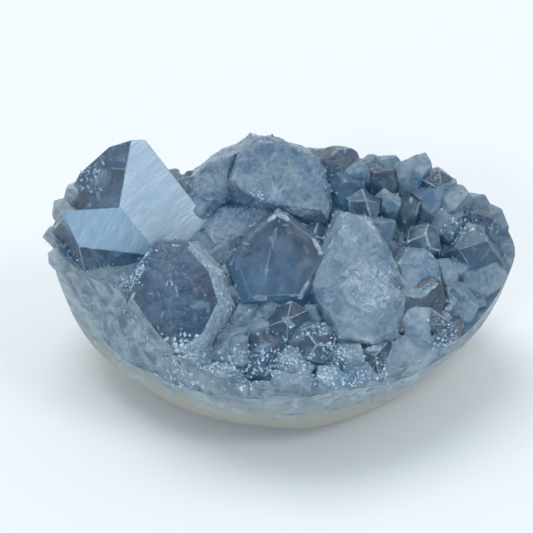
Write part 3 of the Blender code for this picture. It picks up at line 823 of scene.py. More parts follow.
def new_group(name):
    """A collection for helper solids."""
    group = bpy.data.collections.new(name)
    bpy.context.scene.collection.children.link(group)
    return group


def into_group(thing, group):
    """Moves an object to one collection."""
    for old in list(thing.users_collection):
        old.objects.unlink(thing)
    group.objects.link(thing)


def remove_group(group):
    """Deletes a collection and its helper solids."""
    for thing in list(group.objects):
        remove(thing)
    bpy.data.collections.remove(group)


def keep_largest(thing):
    """Deletes loose chips that a cut left beside the main body."""
    mesh = bmesh.new()
    mesh.from_mesh(thing.data)
    left = set(mesh.verts)
    bodies = []
    while left:
        start = left.pop()
        body = {start}
        queue = [start]
        while queue:
            for edge in queue.pop().link_edges:
                for vert in edge.verts:
                    if vert not in body:
                        body.add(vert)
                        queue.append(vert)
        left -= body
        bodies.append(body)
    largest = max(bodies, key=len)
    spare = [vert for vert in mesh.verts if vert not in largest]
    bmesh.ops.delete(mesh, geom=spare, context="VERTS")
    mesh.to_mesh(thing.data)
    mesh.free()


def rough(place, size, seed=0.0):
    """Smooth noise between -1 and 1 at a place in millimetres."""
    return noise.noise(Vector((place[0] / size + seed, place[1] / size - seed, place[2] / size)))


# Crystals


def broad_face(entry):
    """Corners of a broad face with its middle and the way it looks."""
    normal = direction(entry["bearing"], entry["rise"])
    first = Vector((*entry["corners"][0], entry["top"]))
    face = []
    for x, t in entry["corners"]:
        n = first.z - (normal.x * (x - first.x) + normal.y * (t - first.y)) / normal.z
        face.append(Vector((x, t, n)))
    return face, sum(face, Vector()) / len(face), normal


def broad_crystal(name, entry, width, inward=0.0):
    """A crystal with a broad flat face and straight sides that lean out below it."""
    face, middle, normal = broad_face(entry)
    thing = start_block(name, 2.0 * (entry["length"] - inward), middle)
    slice_off(middle - normal * inward, normal)
    flare = math.radians(entry["flare"])
    slant = math.radians(EDGE_SLANT)
    for number, (here, there) in enumerate(zip(face, face[1:] + face[:1])):
        edge = (there - here).normalized()
        outward = edge.cross(normal)
        if outward.dot(here - middle) < 0.0:
            outward = -outward
        change = math.sin(EDGE_CHANGE * number + here.x)
        half = 0.5 * EDGE_WIDTH * (1.0 + EDGE_VARIATION * change)
        side = outward * math.cos(flare) + normal * math.sin(flare)
        slice_off(here + outward * half - side * inward, side)
        worn = outward * math.cos(slant) + normal * math.sin(slant)
        slice_off(here - outward * half - worn * inward, worn)
    close_block(thing)
    if width > 0.0:
        soften_edges(thing, width, 1)
    return thing


def pointed_crystal(name, entry, width, inward=0.0):
    """A crystal cut from a block by facets round a middle point."""
    thing = start_block(name, POINTED_BLOCK - 2.0 * inward, entry["middle"])
    for bearing, rise, through in entry["facets"]:
        normal = direction(bearing, rise)
        slice_off(Vector(through) - normal * inward, normal)
    close_block(thing)
    if width > 0.0:
        soften_edges(thing, width, 1)
    return thing


def rough_crystal(name, row, length, chance, width_worn=0.0, inward=0.0):
    """A stubby uneven crystal with a blunt faceted end, its tip near the given point."""
    x, t, n, width, bearing, lean, turn = row
    radius = width / 2.0
    thing = start_block(name, 4.0 * width, (0.0, 0.0, 2.0 * width - length + inward))
    walls = chance.choice(WALL_COUNTS)
    for number in range(walls):
        toward = number * 360.0 / walls + chance.uniform(-WALL_TURN, WALL_TURN)
        wall = direction(toward, chance.uniform(*WALL_FLARE))
        slice_off(wall * (radius * chance.uniform(*WALL_REACH) - inward), wall)
    roofs = chance.choice(ROOF_COUNTS)
    for number in range(roofs):
        toward = number * 360.0 / roofs + chance.uniform(-ROOF_TURN, ROOF_TURN)
        slope = direction(toward, chance.uniform(*ROOF_SLOPE))
        reach = radius * chance.uniform(*ROOF_REACH) - inward
        slice_off(Vector((0.0, 0.0, -ROOF_DROP * radius)) + slope * reach, slope)
    close_block(thing)
    if width_worn > 0.0:
        soften_edges(thing, width_worn, ROUND_STEPS)
    axis = direction(bearing, 90.0 - lean)
    stand = axis.to_track_quat("Z", "Y").to_matrix().to_4x4()
    spin = Matrix.Rotation(math.radians(turn), 4, "Z")
    thing.data.transform(Matrix.Translation((x, t, n)) @ stand @ spin)
    return thing, axis


def chip(name, middle, axes, reach, seed, fine=SCAR_FINENESS):
    """A crumpled lump that leaves a shell-shaped break where it is cut from a crystal."""
    deselect()
    bpy.ops.mesh.primitive_ico_sphere_add(subdivisions=fine, radius=1.0)
    thing = bpy.context.object
    thing.name = name
    for vert in thing.data.vertices:
        unit = vert.co.normalized()
        place = unit * CHIP_GRAIN + Vector((seed, -seed, 0.5 * seed))
        crumple = noise.ridged_multi_fractal(place, *CHIP_RIDGES)
        ripples = math.sin(CHIP_RIPPLES * (unit.x + CHIP_SLANT * unit.y) + seed) * CHIP_RIPPLE
        swell = CHIP_BODY + CHIP_CRUMPLE * crumple + ripples
        parts = (axis * (part * size * swell) for axis, part, size in zip(axes, unit, reach))
        vert.co = Vector(middle) + sum(parts, Vector())
    return thing


def sheet_block(name, height_at, far, fineness):
    """A block with one uneven side that follows a height over the plan."""
    deselect()
    columns, rows = fineness
    bpy.ops.mesh.primitive_grid_add(x_subdivisions=columns, y_subdivisions=rows, size=2.0)
    thing = bpy.context.object
    thing.name = name
    pick(thing)
    thing.scale = (LEFT_REACH + SHEET_MARGIN_X, FRONT_REACH + SHEET_MARGIN_T, 1.0)
    bpy.ops.object.transform_apply(location=True, rotation=True, scale=True)
    for vert in thing.data.vertices:
        vert.co.z = height_at(vert.co.x, vert.co.y)
    bpy.ops.object.mode_set(mode="EDIT")
    bpy.ops.mesh.select_all(action="SELECT")
    bpy.ops.mesh.extrude_region_move()
    bpy.ops.transform.resize(value=(1.0, 1.0, 0.0), center_override=(0.0, 0.0, far))
    bpy.ops.mesh.select_all(action="SELECT")
    bpy.ops.mesh.normals_make_consistent(inside=False)
    bpy.ops.object.mode_set(mode="OBJECT")
    return thing


def geode_outside(name, inward, fineness):
    """The smooth worn outside, closed, with room above the rim for the crystals."""
    deselect()
    segments, rings = fineness
    bpy.ops.mesh.primitive_uv_sphere_add(segments=segments, ring_count=rings, radius=1.0)
    thing = bpy.context.object
    thing.name = name
    for vert in thing.data.vertices:
        unit = vert.co.normalized()
        flat = math.hypot(unit.x, unit.y)
        height = unit.z * (ROOM_ABOVE if unit.z > 0.0 else DEPTH_BELOW)
        if unit.z > 0.0:
            share = 1.0 + ROOM_FLARE * unit.z * max(unit.y, 0.0) / flat if flat > 0.0 else 0.0
            height = min(height * ROOM_STEEPNESS, ROOM_ABOVE)
            if unit.z > ROOM_TOP:
                share = 0.0
        else:
            share = flat
        turn = math.atan2(unit.y, unit.x)
        x = math.cos(turn) * (RIGHT_REACH if unit.x > 0.0 else LEFT_REACH)
        t = math.sin(turn) * (BACK_REACH if unit.y > 0.0 else FRONT_REACH)
        rim = 1.0 / plan_reach(x + MIDDLE_X - min(t, 0.0) * FRONT_SKEW / FRONT_REACH, t)
        if unit.z <= 0.0:
            squash = flat**SIDE_ROUNDNESS + abs(unit.z) ** SIDE_ROUNDNESS
            squash = squash ** (-1.0 / SIDE_ROUNDNESS)
            share *= squash
            height *= squash
        x *= rim * share
        t *= rim * share
        toward = math.atan2(t, x)
        worn = worn_depth(math.degrees(toward), height) * min(share, 1.0)
        x -= worn * math.cos(toward)
        t -= worn * math.sin(toward)
        x += MIDDLE_X * min(share, 1.0)
        x -= FRONT_SKEW * min(t, 0.0) / FRONT_REACH
        t += BASE_SHIFT * max(-height / DEPTH_BELOW, 0.0) ** BASE_SHIFT_POWER
        lump = math.sin(0.11 * x + 0.8) * math.cos(0.16 * t + 0.13 * height)
        lump += 0.6 * math.sin(0.19 * height - 0.14 * x + 1.9)
        vert.co = Vector((x, t, height)) + unit * (LUMP_HEIGHT * lump - inward)
    return thing


def face_like(bearing, rise, tolerance=0.985):
    """A test for faces that look in a direction."""
    toward = direction(bearing, rise)
    return lambda face: face.normal.dot(toward) > tolerance


def large_finish(name):
    """What each face of a large crystal is like."""
    if name == "tall_point":
        bright = face_like(-81.0, 46.0)
        return lambda face: FROSTED if bright(face) else CLEAR
    if name == "low_prism":
        silky = face_like(-60.0, 52.0)
        return lambda face: FROSTED if silky(face) else CLEAR
    if name == "dark_hexagon":
        return lambda face: FRACTURED if face.normal.x > 0.25 else CLEAR
    return CLEAR


def large_grain(name):
    """The way the growth lines run on a large crystal."""
    if name == "tall_point":
        return TALL_GRAIN
    return LARGE_GRAIN


def large_crystals(shape, clear, inward=0.0, worn=True):
    """The large crystals of one sort as marked solids."""
    tones = random.Random(FILL_SEED + 2)
    width = shape.edge_wear if worn else 0.0
    things = []
    for name, entry in [*BROAD_CRYSTALS.items(), *POINTED_CRYSTALS.items()]:
        tone = LARGE_TONES.get(name, tones.random())
        if (name in CLEAR_LARGE) != clear:
            continue
        make = broad_crystal if "corners" in entry else pointed_crystal
        thing = make(name, entry, width, inward)
        mark_faces(thing, large_finish(name), large_grain(name), tone)
        if name in UNEVEN:
            roughen(thing, LARGE_EDGE, *UNEVEN[name])
        things.append(thing)
    return things


def rough_crystals(shape, clear, inward=0.0, worn=True):
    """The middling and small crystals of one sort as marked solids."""
    chance = random.Random(FILL_SEED)
    tones = random.Random(FILL_SEED + 1)
    things = []
    for number, row in enumerate(MIDDLE_CRYSTALS):
        tone = tones.random()
        width = shape.round_wear if worn else 0.0
        name = f"middle_{number:02d}"
        thing, axis = worn_rough_crystal(name, row, crystal_length(row), chance, width, inward)
        if (number in CLEAR_MIDDLE) != clear:
            remove(thing)
            continue
        mark_faces(thing, CLEAR, axis, tone)
        roughen(thing, MIDDLE_EDGE, shape.unevenness, CRUMPLE_SHARE * shape.unevenness)
        things.append(thing)
    if clear:
        return things
    for number, row in enumerate(small_crystals(chance)):
        name = f"small_{number:03d}"
        thing, axis = worn_rough_crystal(
            name, row, crystal_length(row), chance, shape.small_wear, 0.0
        )
        mark_faces(thing, CLEAR, axis, tones.random())
        swell = SMALL_SWELL_SHARE * shape.unevenness
        roughen(thing, SMALL_EDGE, swell, CRUMPLE_SHARE * shape.unevenness)
        things.append(thing)
    return things


def scar(name, corner, along, outward, chance):
    """A long lump that only grazes an edge and leaves a shallow shell-shaped scar."""
    outward = outward.normalized()
    across = outward.cross(along).normalized()
    along = across.cross(outward).normalized()
    reach = tuple(chance.uniform(*size) for size in (SCAR_LENGTH, SCAR_WIDTH, SCAR_HEIGHT))
    depth = chance.uniform(*SCAR_DEPTH)
    middle = corner + outward * (SCAR_BODY * reach[2] - depth)
    seed = chance.uniform(*SCAR_SEEDS)
    if chance.random() > SCAR_SHARE:
        return []
    return [chip(name, middle, (along, across, outward), reach, seed)]


def chips():
    """Breaks in the crystals: those seen in the photo, and scars along the edges."""
    chance = random.Random(CHIP_SEED)
    things = []
    for number, (x, t, n, radius, squash, bearing, rise) in enumerate(CHIPS):
        outward = direction(bearing, rise)
        across = outward.orthogonal().normalized()
        axes = (across, outward.cross(across), outward)
        reach = (radius, radius, radius * squash)
        seed = CHIP_SEED_STEP * number
        name = f"break_{number:02d}"
        things.append(chip(name, (x, t, n), axes, reach, seed, CHIP_FINENESS))
    for name, entry in BROAD_CRYSTALS.items():
        if name in UNSCARRED:
            continue
        face, middle, normal = broad_face(entry)
        for here, there in zip(face, face[1:] + face[:1]):
            for _ in range(SCARS_PER_EDGE):
                corner = here.lerp(there, chance.random())
                outward = (corner - middle).normalized() * chance.uniform(*SCAR_TILT) + normal
                name = f"scar_{len(things):03d}"
                things += scar(name, corner, there - here, outward, chance)
    for thing in things:
        mark_whole(thing, FRACTURED)
    return things


def in_sight(place):
    """True for places above the bed, where the faces of the crystals show."""
    above = place.z > bed_height(place.x, place.y) - SIGHT_DEPTH
    return above and plan_reach(place.x, place.y) < SIGHT_REACH


def is_closed(mesh):
    """True where every edge has a face on both sides."""
    return all(len(edge.link_faces) == 2 for edge in mesh.edges)


def thing_is_closed(thing):
    """True for an object whose mesh is a closed skin."""
    mesh = bmesh.new()
    mesh.from_mesh(thing.data)
    closed = is_closed(mesh)
    mesh.free()
    return closed


def worn_rough_crystal(name, row, length, chance, width, inward):
    """A rough crystal with worn edges, or with sharp ones where wearing leaves it open."""
    state = chance.getstate()
    thing, axis = rough_crystal(name, row, length, chance, width, inward)
    if thing_is_closed(thing):
        return thing, axis
    remove(thing)
    chance.setstate(state)
    return rough_crystal(name, row, length, chance, 0.0, inward)


def roughen(thing, longest, swell, crumple):
    """Splits the faces finely and makes them uneven, as on crystals grown in a crowd."""
    mesh = bmesh.new()
    mesh.from_mesh(thing.data)
    bmesh.ops.triangulate(mesh, faces=mesh.faces)
    for _ in range(SPLIT_ROUNDS):
        long = []
        for edge in mesh.edges:
            here, there = (vert.co for vert in edge.verts)
            size = (here - there).length
            if size > longest and (size > HIDDEN_EDGE or in_sight((here + there) / 2.0)):
                long.append(edge)
        if not long:
            break
        bmesh.ops.subdivide_edges(mesh, edges=long, cuts=1)
        bmesh.ops.triangulate(mesh, faces=mesh.faces)
    mesh.normal_update()
    shifts = []
    for vert in mesh.verts:
        place = vert.co
        broad = noise.noise(place / SWELL_SIZE) - SWELL_SINK
        ridges = noise.ridged_multi_fractal(place / RIDGE_SIZE, *RIDGES) - 1.0
        shifts.append(vert.normal * (swell * broad - crumple * abs(ridges)))
    for vert, shift in zip(mesh.verts, shifts):
        vert.co += shift
    if is_closed(mesh):
        mesh.to_mesh(thing.data)
    mesh.free()


def mark_whole(thing, finish):
    """Marks a helper solid so that the faces it leaves keep its finish."""
    mark_faces(thing, finish, ACROSS, PLAIN_TONE)


def dress(thing, materials):
    """Gives each face the material of its finish and shades it."""
    mesh = thing.data
    mesh.materials.clear()
    for material in materials:
        mesh.materials.append(material)
    values = [round(item.value) for item in mesh.attributes["finish"].data]
    mesh.polygons.foreach_set("material_index", values)
    pick(thing)
    bpy.ops.object.shade_smooth_by_angle(angle=math.radians(SHARP_FROM))


# Materials


def new_material(name):
    """An empty material with its output node."""
    material = bpy.data.materials.new(name)
    material.use_nodes = True
    tree = material.node_tree
    tree.nodes.clear()
    return material, tree, tree.nodes.new("ShaderNodeOutputMaterial")


def put(tree, kind, inputs=None, **settings):
    """Adds a node, sets its options and sets or links its inputs."""
    node = tree.nodes.new(kind)
    for key, value in settings.items():
        setattr(node, key, value)
    for key, value in (inputs or {}).items():
        socket = node.inputs[key]
        if isinstance(value, bpy.types.NodeSocket):
            tree.links.new(value, socket)
        else:
            socket.default_value = value
    return node


def place_mm(tree, scale=(1.0, 1.0, 1.0)):
    """Object coordinates in millimetres."""
    coordinates = put(tree, "ShaderNodeTexCoord").outputs["Object"]
    factor = tuple(PER_METRE * part for part in scale)
    return put(tree, "ShaderNodeMapping", {"Vector": coordinates, "Scale": factor}).outputs[0]


def along_grain(tree, scale):
    """The crystal's own map, drawn out along its growth lines."""
    grain = put(tree, "ShaderNodeUVMap", uv_map="grain").outputs["UV"]
    return put(tree, "ShaderNodeMapping", {"Vector": grain, "Scale": scale}).outputs[0]


def stretched(tree, value, start, end, **settings):
    """A value stretched so that start becomes none and end all."""
    inputs = {"Value": value, "From Min": start, "From Max": end}
    return put(tree, "ShaderNodeMapRange", inputs, **settings).outputs["Result"]


def clouds(tree, vector, scale, detail, rough, low, high, distortion=0.0):
    """Noise, in waves per millimetre, stretched so that low becomes none and high all."""
    inputs = {
        "Vector": vector,
        "Scale": scale,
        "Detail": detail,
        "Roughness": rough,
        "Distortion": distortion,
    }
    return stretched(tree, put(tree, "ShaderNodeTexNoise", inputs).outputs["Fac"], low, high)


def blend_colour(tree, factor, first, second, blend_type="MIX"):
    """Mixes two colours."""
    node = put(tree, "ShaderNodeMix", data_type="RGBA", blend_type=blend_type)
    for number, value in ((0, factor), (6, first), (7, second)):
        if isinstance(value, bpy.types.NodeSocket):
            tree.links.new(value, node.inputs[number])
        elif isinstance(value, (int, float)):
            node.inputs[number].default_value = value
        else:
            node.inputs[number].default_value = (*value[:3], 1.0)
    return node.outputs[2]


def product(tree, first, second, clamp=False):
    """One value times another."""
    inputs = {0: first, 1: second}
    settings = {"operation": "MULTIPLY", "use_clamp": clamp}
    return put(tree, "ShaderNodeMath", inputs, **settings).outputs[0]


def total(tree, start, *parts):
    """A start value and some values, each times its weight, added up."""
    for value, weight in parts:
        inputs = {0: value, 1: weight, 2: start}
        start = put(tree, "ShaderNodeMath", inputs, operation="MULTIPLY_ADD").outputs[0]
    return start


def darkness(tree, most):
    """How dark a crystal's own tone is, up to the most given."""
    tone = put(tree, "ShaderNodeAttribute", attribute_name="tone").outputs["Fac"]
    return total(tree, most, (tone, -most))


def relief(tree, height, strength, distance):
    """Fine relief of a surface, its distance in millimetres."""
    inputs = {"Height": height, "Strength": strength, "Distance": distance * MM}
    return put(tree, "ShaderNodeBump", inputs).outputs["Normal"]


def surface(tree, output, colour, roughness, **more):
    """Gives a material its surface."""
    inputs = {"Base Color": colour, "Roughness": roughness}
    inputs.update({name.replace("_", " "): value for name, value in more.items()})
    shader = put(tree, "ShaderNodeBsdfPrincipled", inputs)
    tree.links.new(shader.outputs["BSDF"], output.inputs["Surface"])


def glassy(name, look, colours, clearness, density, rough_from, strength):
    """Crystal that light passes through, tinted by depth, with veils and growth lines."""
    material, tree, output = new_material(name)
    place = place_mm(tree)
    broad = clouds(tree, place, 0.1, 4.0, 0.55, 0.4, 0.62, 0.6)
    milk = clouds(tree, place, 0.28, 7.0, 0.66, 0.42, 0.64, 1.1)
    fine = clouds(tree, place, 1.1, 6.0, 0.7, 0.42, 0.7, 0.5)
    streaks = clouds(tree, along_grain(tree, (1.5, 0.14, 1.0)), 1.0, 5.0, 0.62, 0.48, 0.7)
    cracks = put(
        tree,
        "ShaderNodeTexVoronoi",
        {"Vector": place, "Scale": 0.17, "Detail": 3.0, "Roughness": 0.8},
        feature="DISTANCE_TO_EDGE",
    ).outputs["Distance"]
    colour = blend_colour(tree, total(tree, 0.0, (milk, 0.5), (broad, 0.6)), *colours)
    colour = blend_colour(tree, darkness(tree, 0.7), colour, look.deep_tone, "MULTIPLY")
    veil = product(tree, product(tree, streaks, milk), look.veils)
    colour = blend_colour(tree, veil, colour, look.veil_colour)
    crack_lines = stretched(tree, cracks, 0.03, 0.0)
    veined = product(tree, crack_lines, product(tree, milk, 0.5))
    colour = blend_colour(tree, veined, colour, look.veil_colour)
    height = total(tree, 0.0, (streaks, 0.4), (fine, 0.2), (milk, 1.8))
    surface(
        tree,
        output,
        colour,
        total(tree, rough_from, (product(tree, milk, fine), 0.25)),
        IOR=look.ior,
        Transmission_Weight=clearness,
        Normal=relief(tree, height, strength, 0.5),
    )
    inputs = {"Color": (*look.depth_colour, 1.0), "Density": density}
    depth = put(tree, "ShaderNodeVolumeAbsorption", inputs)
    tree.links.new(depth.outputs["Volume"], output.inputs["Volume"])
    return material


def clear_celestite(look):
    """Clear blue crystal, dark where it is deep."""
    colours = (look.clear_dark, look.clear_light)
    return glassy(
        "clear_celestite", look, colours, look.clearness, look.depth_density, 0.03, 0.25
    )


def milky_celestite(look):
    """Milky pale blue crystal that still lets light through."""
    colours = (look.milky_dark, look.milky_light)
    density = MILKY_DENSITY * look.depth_density
    return glassy("milky_celestite", look, colours, look.milkiness, density, 0.04, 0.5)


def fractured_face(look):
    """Crumpled white and blue break in a crystal."""
    material, tree, output = new_material("fractured_face")
    place = place_mm(tree)
    crumple = clouds(tree, place, 0.35, 8.0, 0.75, 0.38, 0.62, 1.6)
    fine = clouds(tree, place, 1.4, 7.0, 0.75, 0.35, 0.65, 1.0)
    white = product(tree, crumple, total(tree, 0.35, (fine, 1.0)), clamp=True)
    colour = blend_colour(tree, white, look.break_dark, look.break_light)
    normal = relief(tree, total(tree, crumple, (fine, 0.6)), 0.8, 0.6)
    rough = total(tree, 0.15, (fine, 0.3))
    surface(tree, output, colour, rough, IOR=look.ior, Normal=normal)
    return material


def worn_edge(look):
    """Whitened edges where the crystals are rubbed, broken up by bare crystal."""
    material, tree, output = new_material("worn_edge")
    rubbed = clouds(tree, place_mm(tree), 0.5, 6.0, 0.72, 0.52, 0.66, 0.8)
    colour = blend_colour(tree, rubbed, look.edge_dark, look.edge_light)
    surface(tree, output, colour, 0.32, IOR=look.ior)
    return material


def crumb_frost(look):
    """Crumbs of broken crystal, white to pale blue and sparkling."""
    material, tree, output = new_material("crumb_frost")
    mottle = clouds(tree, place_mm(tree), 0.3, 6.0, 0.7, 0.36, 0.64, 0.5)
    colour = blend_colour(tree, mottle, look.crumb_dark, look.crumb_light)
    surface(tree, output, colour, 0.22, IOR=look.ior)
    return material


def inner_veil(look):
    """Pale needles and flakes shut in the clear crystal."""
    material, tree, output = new_material("inner_veil")
    mottle = clouds(tree, place_mm(tree), 0.6, 3.0, 0.6, 0.35, 0.65)
    surface(tree, output, blend_colour(tree, mottle, look.root_light, look.veil_colour), 0.4)
    return material


def crumbled_root(look):
    """Milky crumbled roots that show through the clear crystals."""
    material, tree, output = new_material("crumbled_root")
    mottle = clouds(tree, place_mm(tree), 0.25, 7.0, 0.65, 0.4, 0.66, 1.0)
    colour = blend_colour(tree, mottle, look.root_dark, look.root_light)
    surface(tree, output, colour, 0.6, Normal=relief(tree, mottle, 0.4, 0.5))
    return material


def cut_crystal(look):
    """Crystal roots worn smooth on the outside, grey-blue and mottled."""
    material, tree, output = new_material("cut_crystal")
    place = place_mm(tree)
    mottle = clouds(tree, place, 0.2, 7.0, 0.65, 0.38, 0.64, 1.2)
    fine = clouds(tree, place, 0.9, 6.0, 0.7, 0.35, 0.68, 0.8)
    colour = blend_colour(tree, mottle, look.cut_dark, look.cut_light)
    colour = blend_colour(tree, product(tree, fine, 0.45), colour, look.cut_dark)
    rough = total(tree, 0.2, (fine, 0.3))
    normal = relief(tree, fine, 0.25, 0.4)
    surface(tree, output, colour, rough, IOR=look.ior, Normal=normal)
    return material


def frosted_face(look):
    """A natural face frosted all over, with fine brushed growth lines."""
    material, tree, output = new_material("frosted_face")
    streaks = clouds(tree, along_grain(tree, (2.2, 0.22, 1.0)), 1.0, 6.0, 0.65, 0.35, 0.68)
    bands = clouds(tree, along_grain(tree, (0.3, 0.05, 1.0)), 1.0, 3.0, 0.5, 0.35, 0.65)
    fine = clouds(tree, place_mm(tree), 1.6, 6.0, 0.7, 0.35, 0.7)
    colour = blend_colour(tree, streaks, look.frost_dark, look.frost_light)
    colour = blend_colour(tree, product(tree, bands, 0.7), colour, look.frost_dark)
    colour = blend_colour(tree, darkness(tree, 0.9), colour, look.deep_tone, "MULTIPLY")
    rough = total(tree, 0.28, (fine, 0.2))
    normal = relief(tree, total(tree, 0.0, (streaks, 0.7), (fine, 0.5)), 0.6, 0.3)
    surface(tree, output, colour, rough, IOR=look.ior, Normal=normal)
    return material


def worn_stone(look):
    """Worn stone: light grey with blue-grey flecks and a beige lower skin."""
    material, tree, output = new_material("worn_stone")
    place = place_mm(tree)
    mottle = clouds(tree, place, 0.22, 6.0, 0.6, 0.4, 0.62, 0.6)
    flecks = clouds(tree, place_mm(tree, FLECK_SCALE), 0.42, 6.0, 0.66, 0.53, 0.6, 1.0)
    fine = clouds(tree, place, 2.2, 6.0, 0.7, 0.3, 0.7)
    colour = blend_colour(tree, mottle, look.rind_grey, look.rind_light)
    colour = blend_colour(tree, flecks, colour, look.rind_fleck)
    colour = blend_colour(tree, product(tree, fine, 0.25), colour, look.rind_light)
    height = put(tree, "ShaderNodeSeparateXYZ", {"Vector": place}).outputs["Z"]
    low = stretched(tree, total(tree, height, (mottle, BEIGE_RAGGED)), *BEIGE_FROM)
    colour = blend_colour(tree, low, colour, look.rind_beige)
    rough = total(tree, 0.35, (fine, 0.3))
    normal = relief(tree, total(tree, 0.0, (mottle, 0.4), (fine, 0.6)), 0.5, 0.4)
    surface(tree, output, colour, rough, Normal=normal)
    return material


def table_cover(look):
    """Pale cloth-like board."""
    material, tree, output = new_material("table_cover")
    fine = clouds(tree, place_mm(tree), 0.8, 4.0, 0.6, 0.3, 0.7)
    shade = tuple(TABLE_SHADE * part for part in look.floor_colour)
    surface(tree, output, blend_colour(tree, fine, look.floor_colour, shade), 0.8)
    return material


def piece_materials(look):
    """The materials of each piece, in the order of the finishes; made once."""
    made = {}
    for make in (
        clear_celestite,
        milky_celestite,
        frosted_face,
        fractured_face,
        cut_crystal,
        crumbled_root,
        worn_edge,
        crumb_frost,
        inner_veil,
        worn_stone,
    ):
        key = make.__name__
        made[key] = bpy.data.materials.get(key) or make(look)
    shared = [made["frosted_face"], made["fractured_face"], made["cut_crystal"]]
    return {
        "milky_crystals": [
            made["milky_celestite"], *shared, made["cut_crystal"], made["milky_celestite"]
        ],
        "clear_crystals": [
            made["clear_celestite"], *shared, made["crumbled_root"], made["worn_edge"]
        ],
        "worn_rind": [*[made["worn_stone"]] * 4, made["crumbled_root"], made["worn_stone"]],
        "crystal_crumbs": [made["crumb_frost"]],
        "inner_flaws": [made["inner_veil"]],
    }


# Values that a user would change


def wear(name, description, default, least=0.02):
    """A length in millimetres."""
    return FloatProperty(name=name, description=description, default=default, min=least)


def share(name, description, default):
    """A share between none and all."""
    return FloatProperty(
        name=name, description=description, default=default, min=0.0, max=1.0, subtype="FACTOR"
    )


def tint(name, description, default):
    """A colour."""
    return FloatVectorProperty(
        name=name, description=description, default=default, size=3, subtype="COLOR"
    )


class GeodeShape(bpy.types.PropertyGroup):
    """Wear and unevenness of the crystals."""

    edge_wear: wear("Edge wear", "Worn strip along the edges of large crystals, in mm", 0.14)
    round_wear: wear("Round wear", "Worn strip along the edges of middling ones, in mm", 1.2)
    small_wear: wear("Small wear", "Worn strip along the edges of small ones, in mm", 0.5)
    unevenness: wear("Unevenness", "Swell of the crowded crystals' faces, in mm", 0.45, 0.0)


class GeodeLook(bpy.types.PropertyGroup):
    """Colours of the crystals, of the rind and of the table."""

    clear_dark: tint("Clear dark", "Even parts of the clear crystals", (0.6, 0.8, 0.95))
    clear_light: tint("Clear light", "Cloudy parts of the clear crystals", (0.86, 0.94, 0.99))
    clearness: share("Clearness", "Light that the clear crystals let through", 0.94)
    depth_colour: tint("Depth tint", "Colour of light from deep crystal", (0.36, 0.7, 0.88))
    depth_density: FloatProperty(
        name="Depth density", description="Tinting by a metre of crystal", default=45.0, min=0.0
    )
    ior: FloatProperty(
        name="Refraction", description="Refractive index of the crystals", default=1.63, min=1.0
    )
    milkiness: share("Milky clearness", "Light that the milky crystals let through", 0.55)
    milky_light: tint("Milky light", "Pale parts of the milky crystals", (0.7, 0.85, 0.95))
    milky_dark: tint("Milky dark", "Blue parts of the milky crystals", (0.22, 0.43, 0.63))
    deep_tone: tint("Deep tone", "Tint of the darkest single crystals", (0.46, 0.62, 0.75))
    veils: share("Veil strength", "How strongly the veils show", 0.9)
    veil_colour: tint("Veils", "Veils and fine cracks in the crystals", (0.76, 0.89, 0.98))
    break_light: tint("Break light", "White parts of the breaks", (0.86, 0.94, 0.99))
    break_dark: tint("Break dark", "Blue parts of the breaks", (0.2, 0.38, 0.56))
    edge_light: tint("Worn edge light", "Rubbed edges of the clear crystals", (0.5, 0.64, 0.74))
    edge_dark: tint("Worn edge dark", "Edges that are hardly rubbed", (0.16, 0.28, 0.38))
    crumb_light: tint("Crumbs light", "Pale crumbs of crystal", (0.62, 0.76, 0.86))
    crumb_dark: tint("Crumbs dark", "Blue crumbs of crystal", (0.22, 0.38, 0.5))
    root_light: tint("Root light", "Pale lumps of the crumbled roots", (0.4, 0.64, 0.8))
    root_dark: tint("Root dark", "Depths of the crumbled roots", (0.04, 0.18, 0.32))
    cut_light: tint("Cut light", "Pale parts of worn-off crystal", (0.36, 0.44, 0.49))
    cut_dark: tint("Cut dark", "Dark parts of worn-off crystal", (0.07, 0.13, 0.19))
    frost_light: tint("Frost light", "Bright streaks of the frosted faces", (0.8, 0.9, 0.96))
    frost_dark: tint("Frost dark", "Dark bands of the frosted faces", (0.38, 0.53, 0.66))
    rind_grey: tint("Rind grey", "Dark parts of the rind", (0.22, 0.29, 0.33))
    rind_light: tint("Rind light", "Light parts of the rind", (0.42, 0.5, 0.53))
    rind_fleck: tint("Rind fleck", "Blue-grey flecks of the rind", (0.14, 0.22, 0.3))
    rind_beige: tint("Rind beige", "Lower skin of the rind", (0.42, 0.4, 0.34))
    floor_colour: tint("Table", "Cover of the table", (0.86, 0.88, 0.89))


# Pieces


def join_solids(name, things):
    """Grows a set of overlapping solids together."""
    group = new_group(name + "_parts")
    base = things[0]
    for thing in things[1:]:
        into_group(thing, group)
    if len(things) > 1:
        solid_step(base, "UNION", group=group)
    remove_group(group)
    base.name = name
    return base


def cut_chips(things):
    """Cuts every break from each of some solids."""
    group = new_group("chips")
    for thing in chips():
        into_group(thing, group)
    for thing in things:
        solid_step(thing, "DIFFERENCE", group=group)
    remove_group(group)


def lumpy(height, x, t, lumps):
    """A height made uneven: each lump with its rise, its level in the noise and its size."""
    for rise, level, size in lumps:
        height += rise * rough((x, t, level), size)
    return height


def root_height(x, t):
    """Height of the crumbled roots that the clear crystals end on."""
    return lumpy(bed_height(x, t) - ROOT_DEPTH, x, t, ROOT_LUMPS)


def rind_top(x, t):
    """Height of the rind: as at the rim, and close under the roots further in."""
    inner = min(max((RISE_FROM - plan_reach(x, t)) / RISE_WIDTH, 0.0), 1.0)
    top = lumpy(rind_height(x, t), x, t, RIND_LUMPS)
    under = root_height(x, t) - RIND_UNDER_ROOTS
    return top + inner * max(under - top, 0.0)


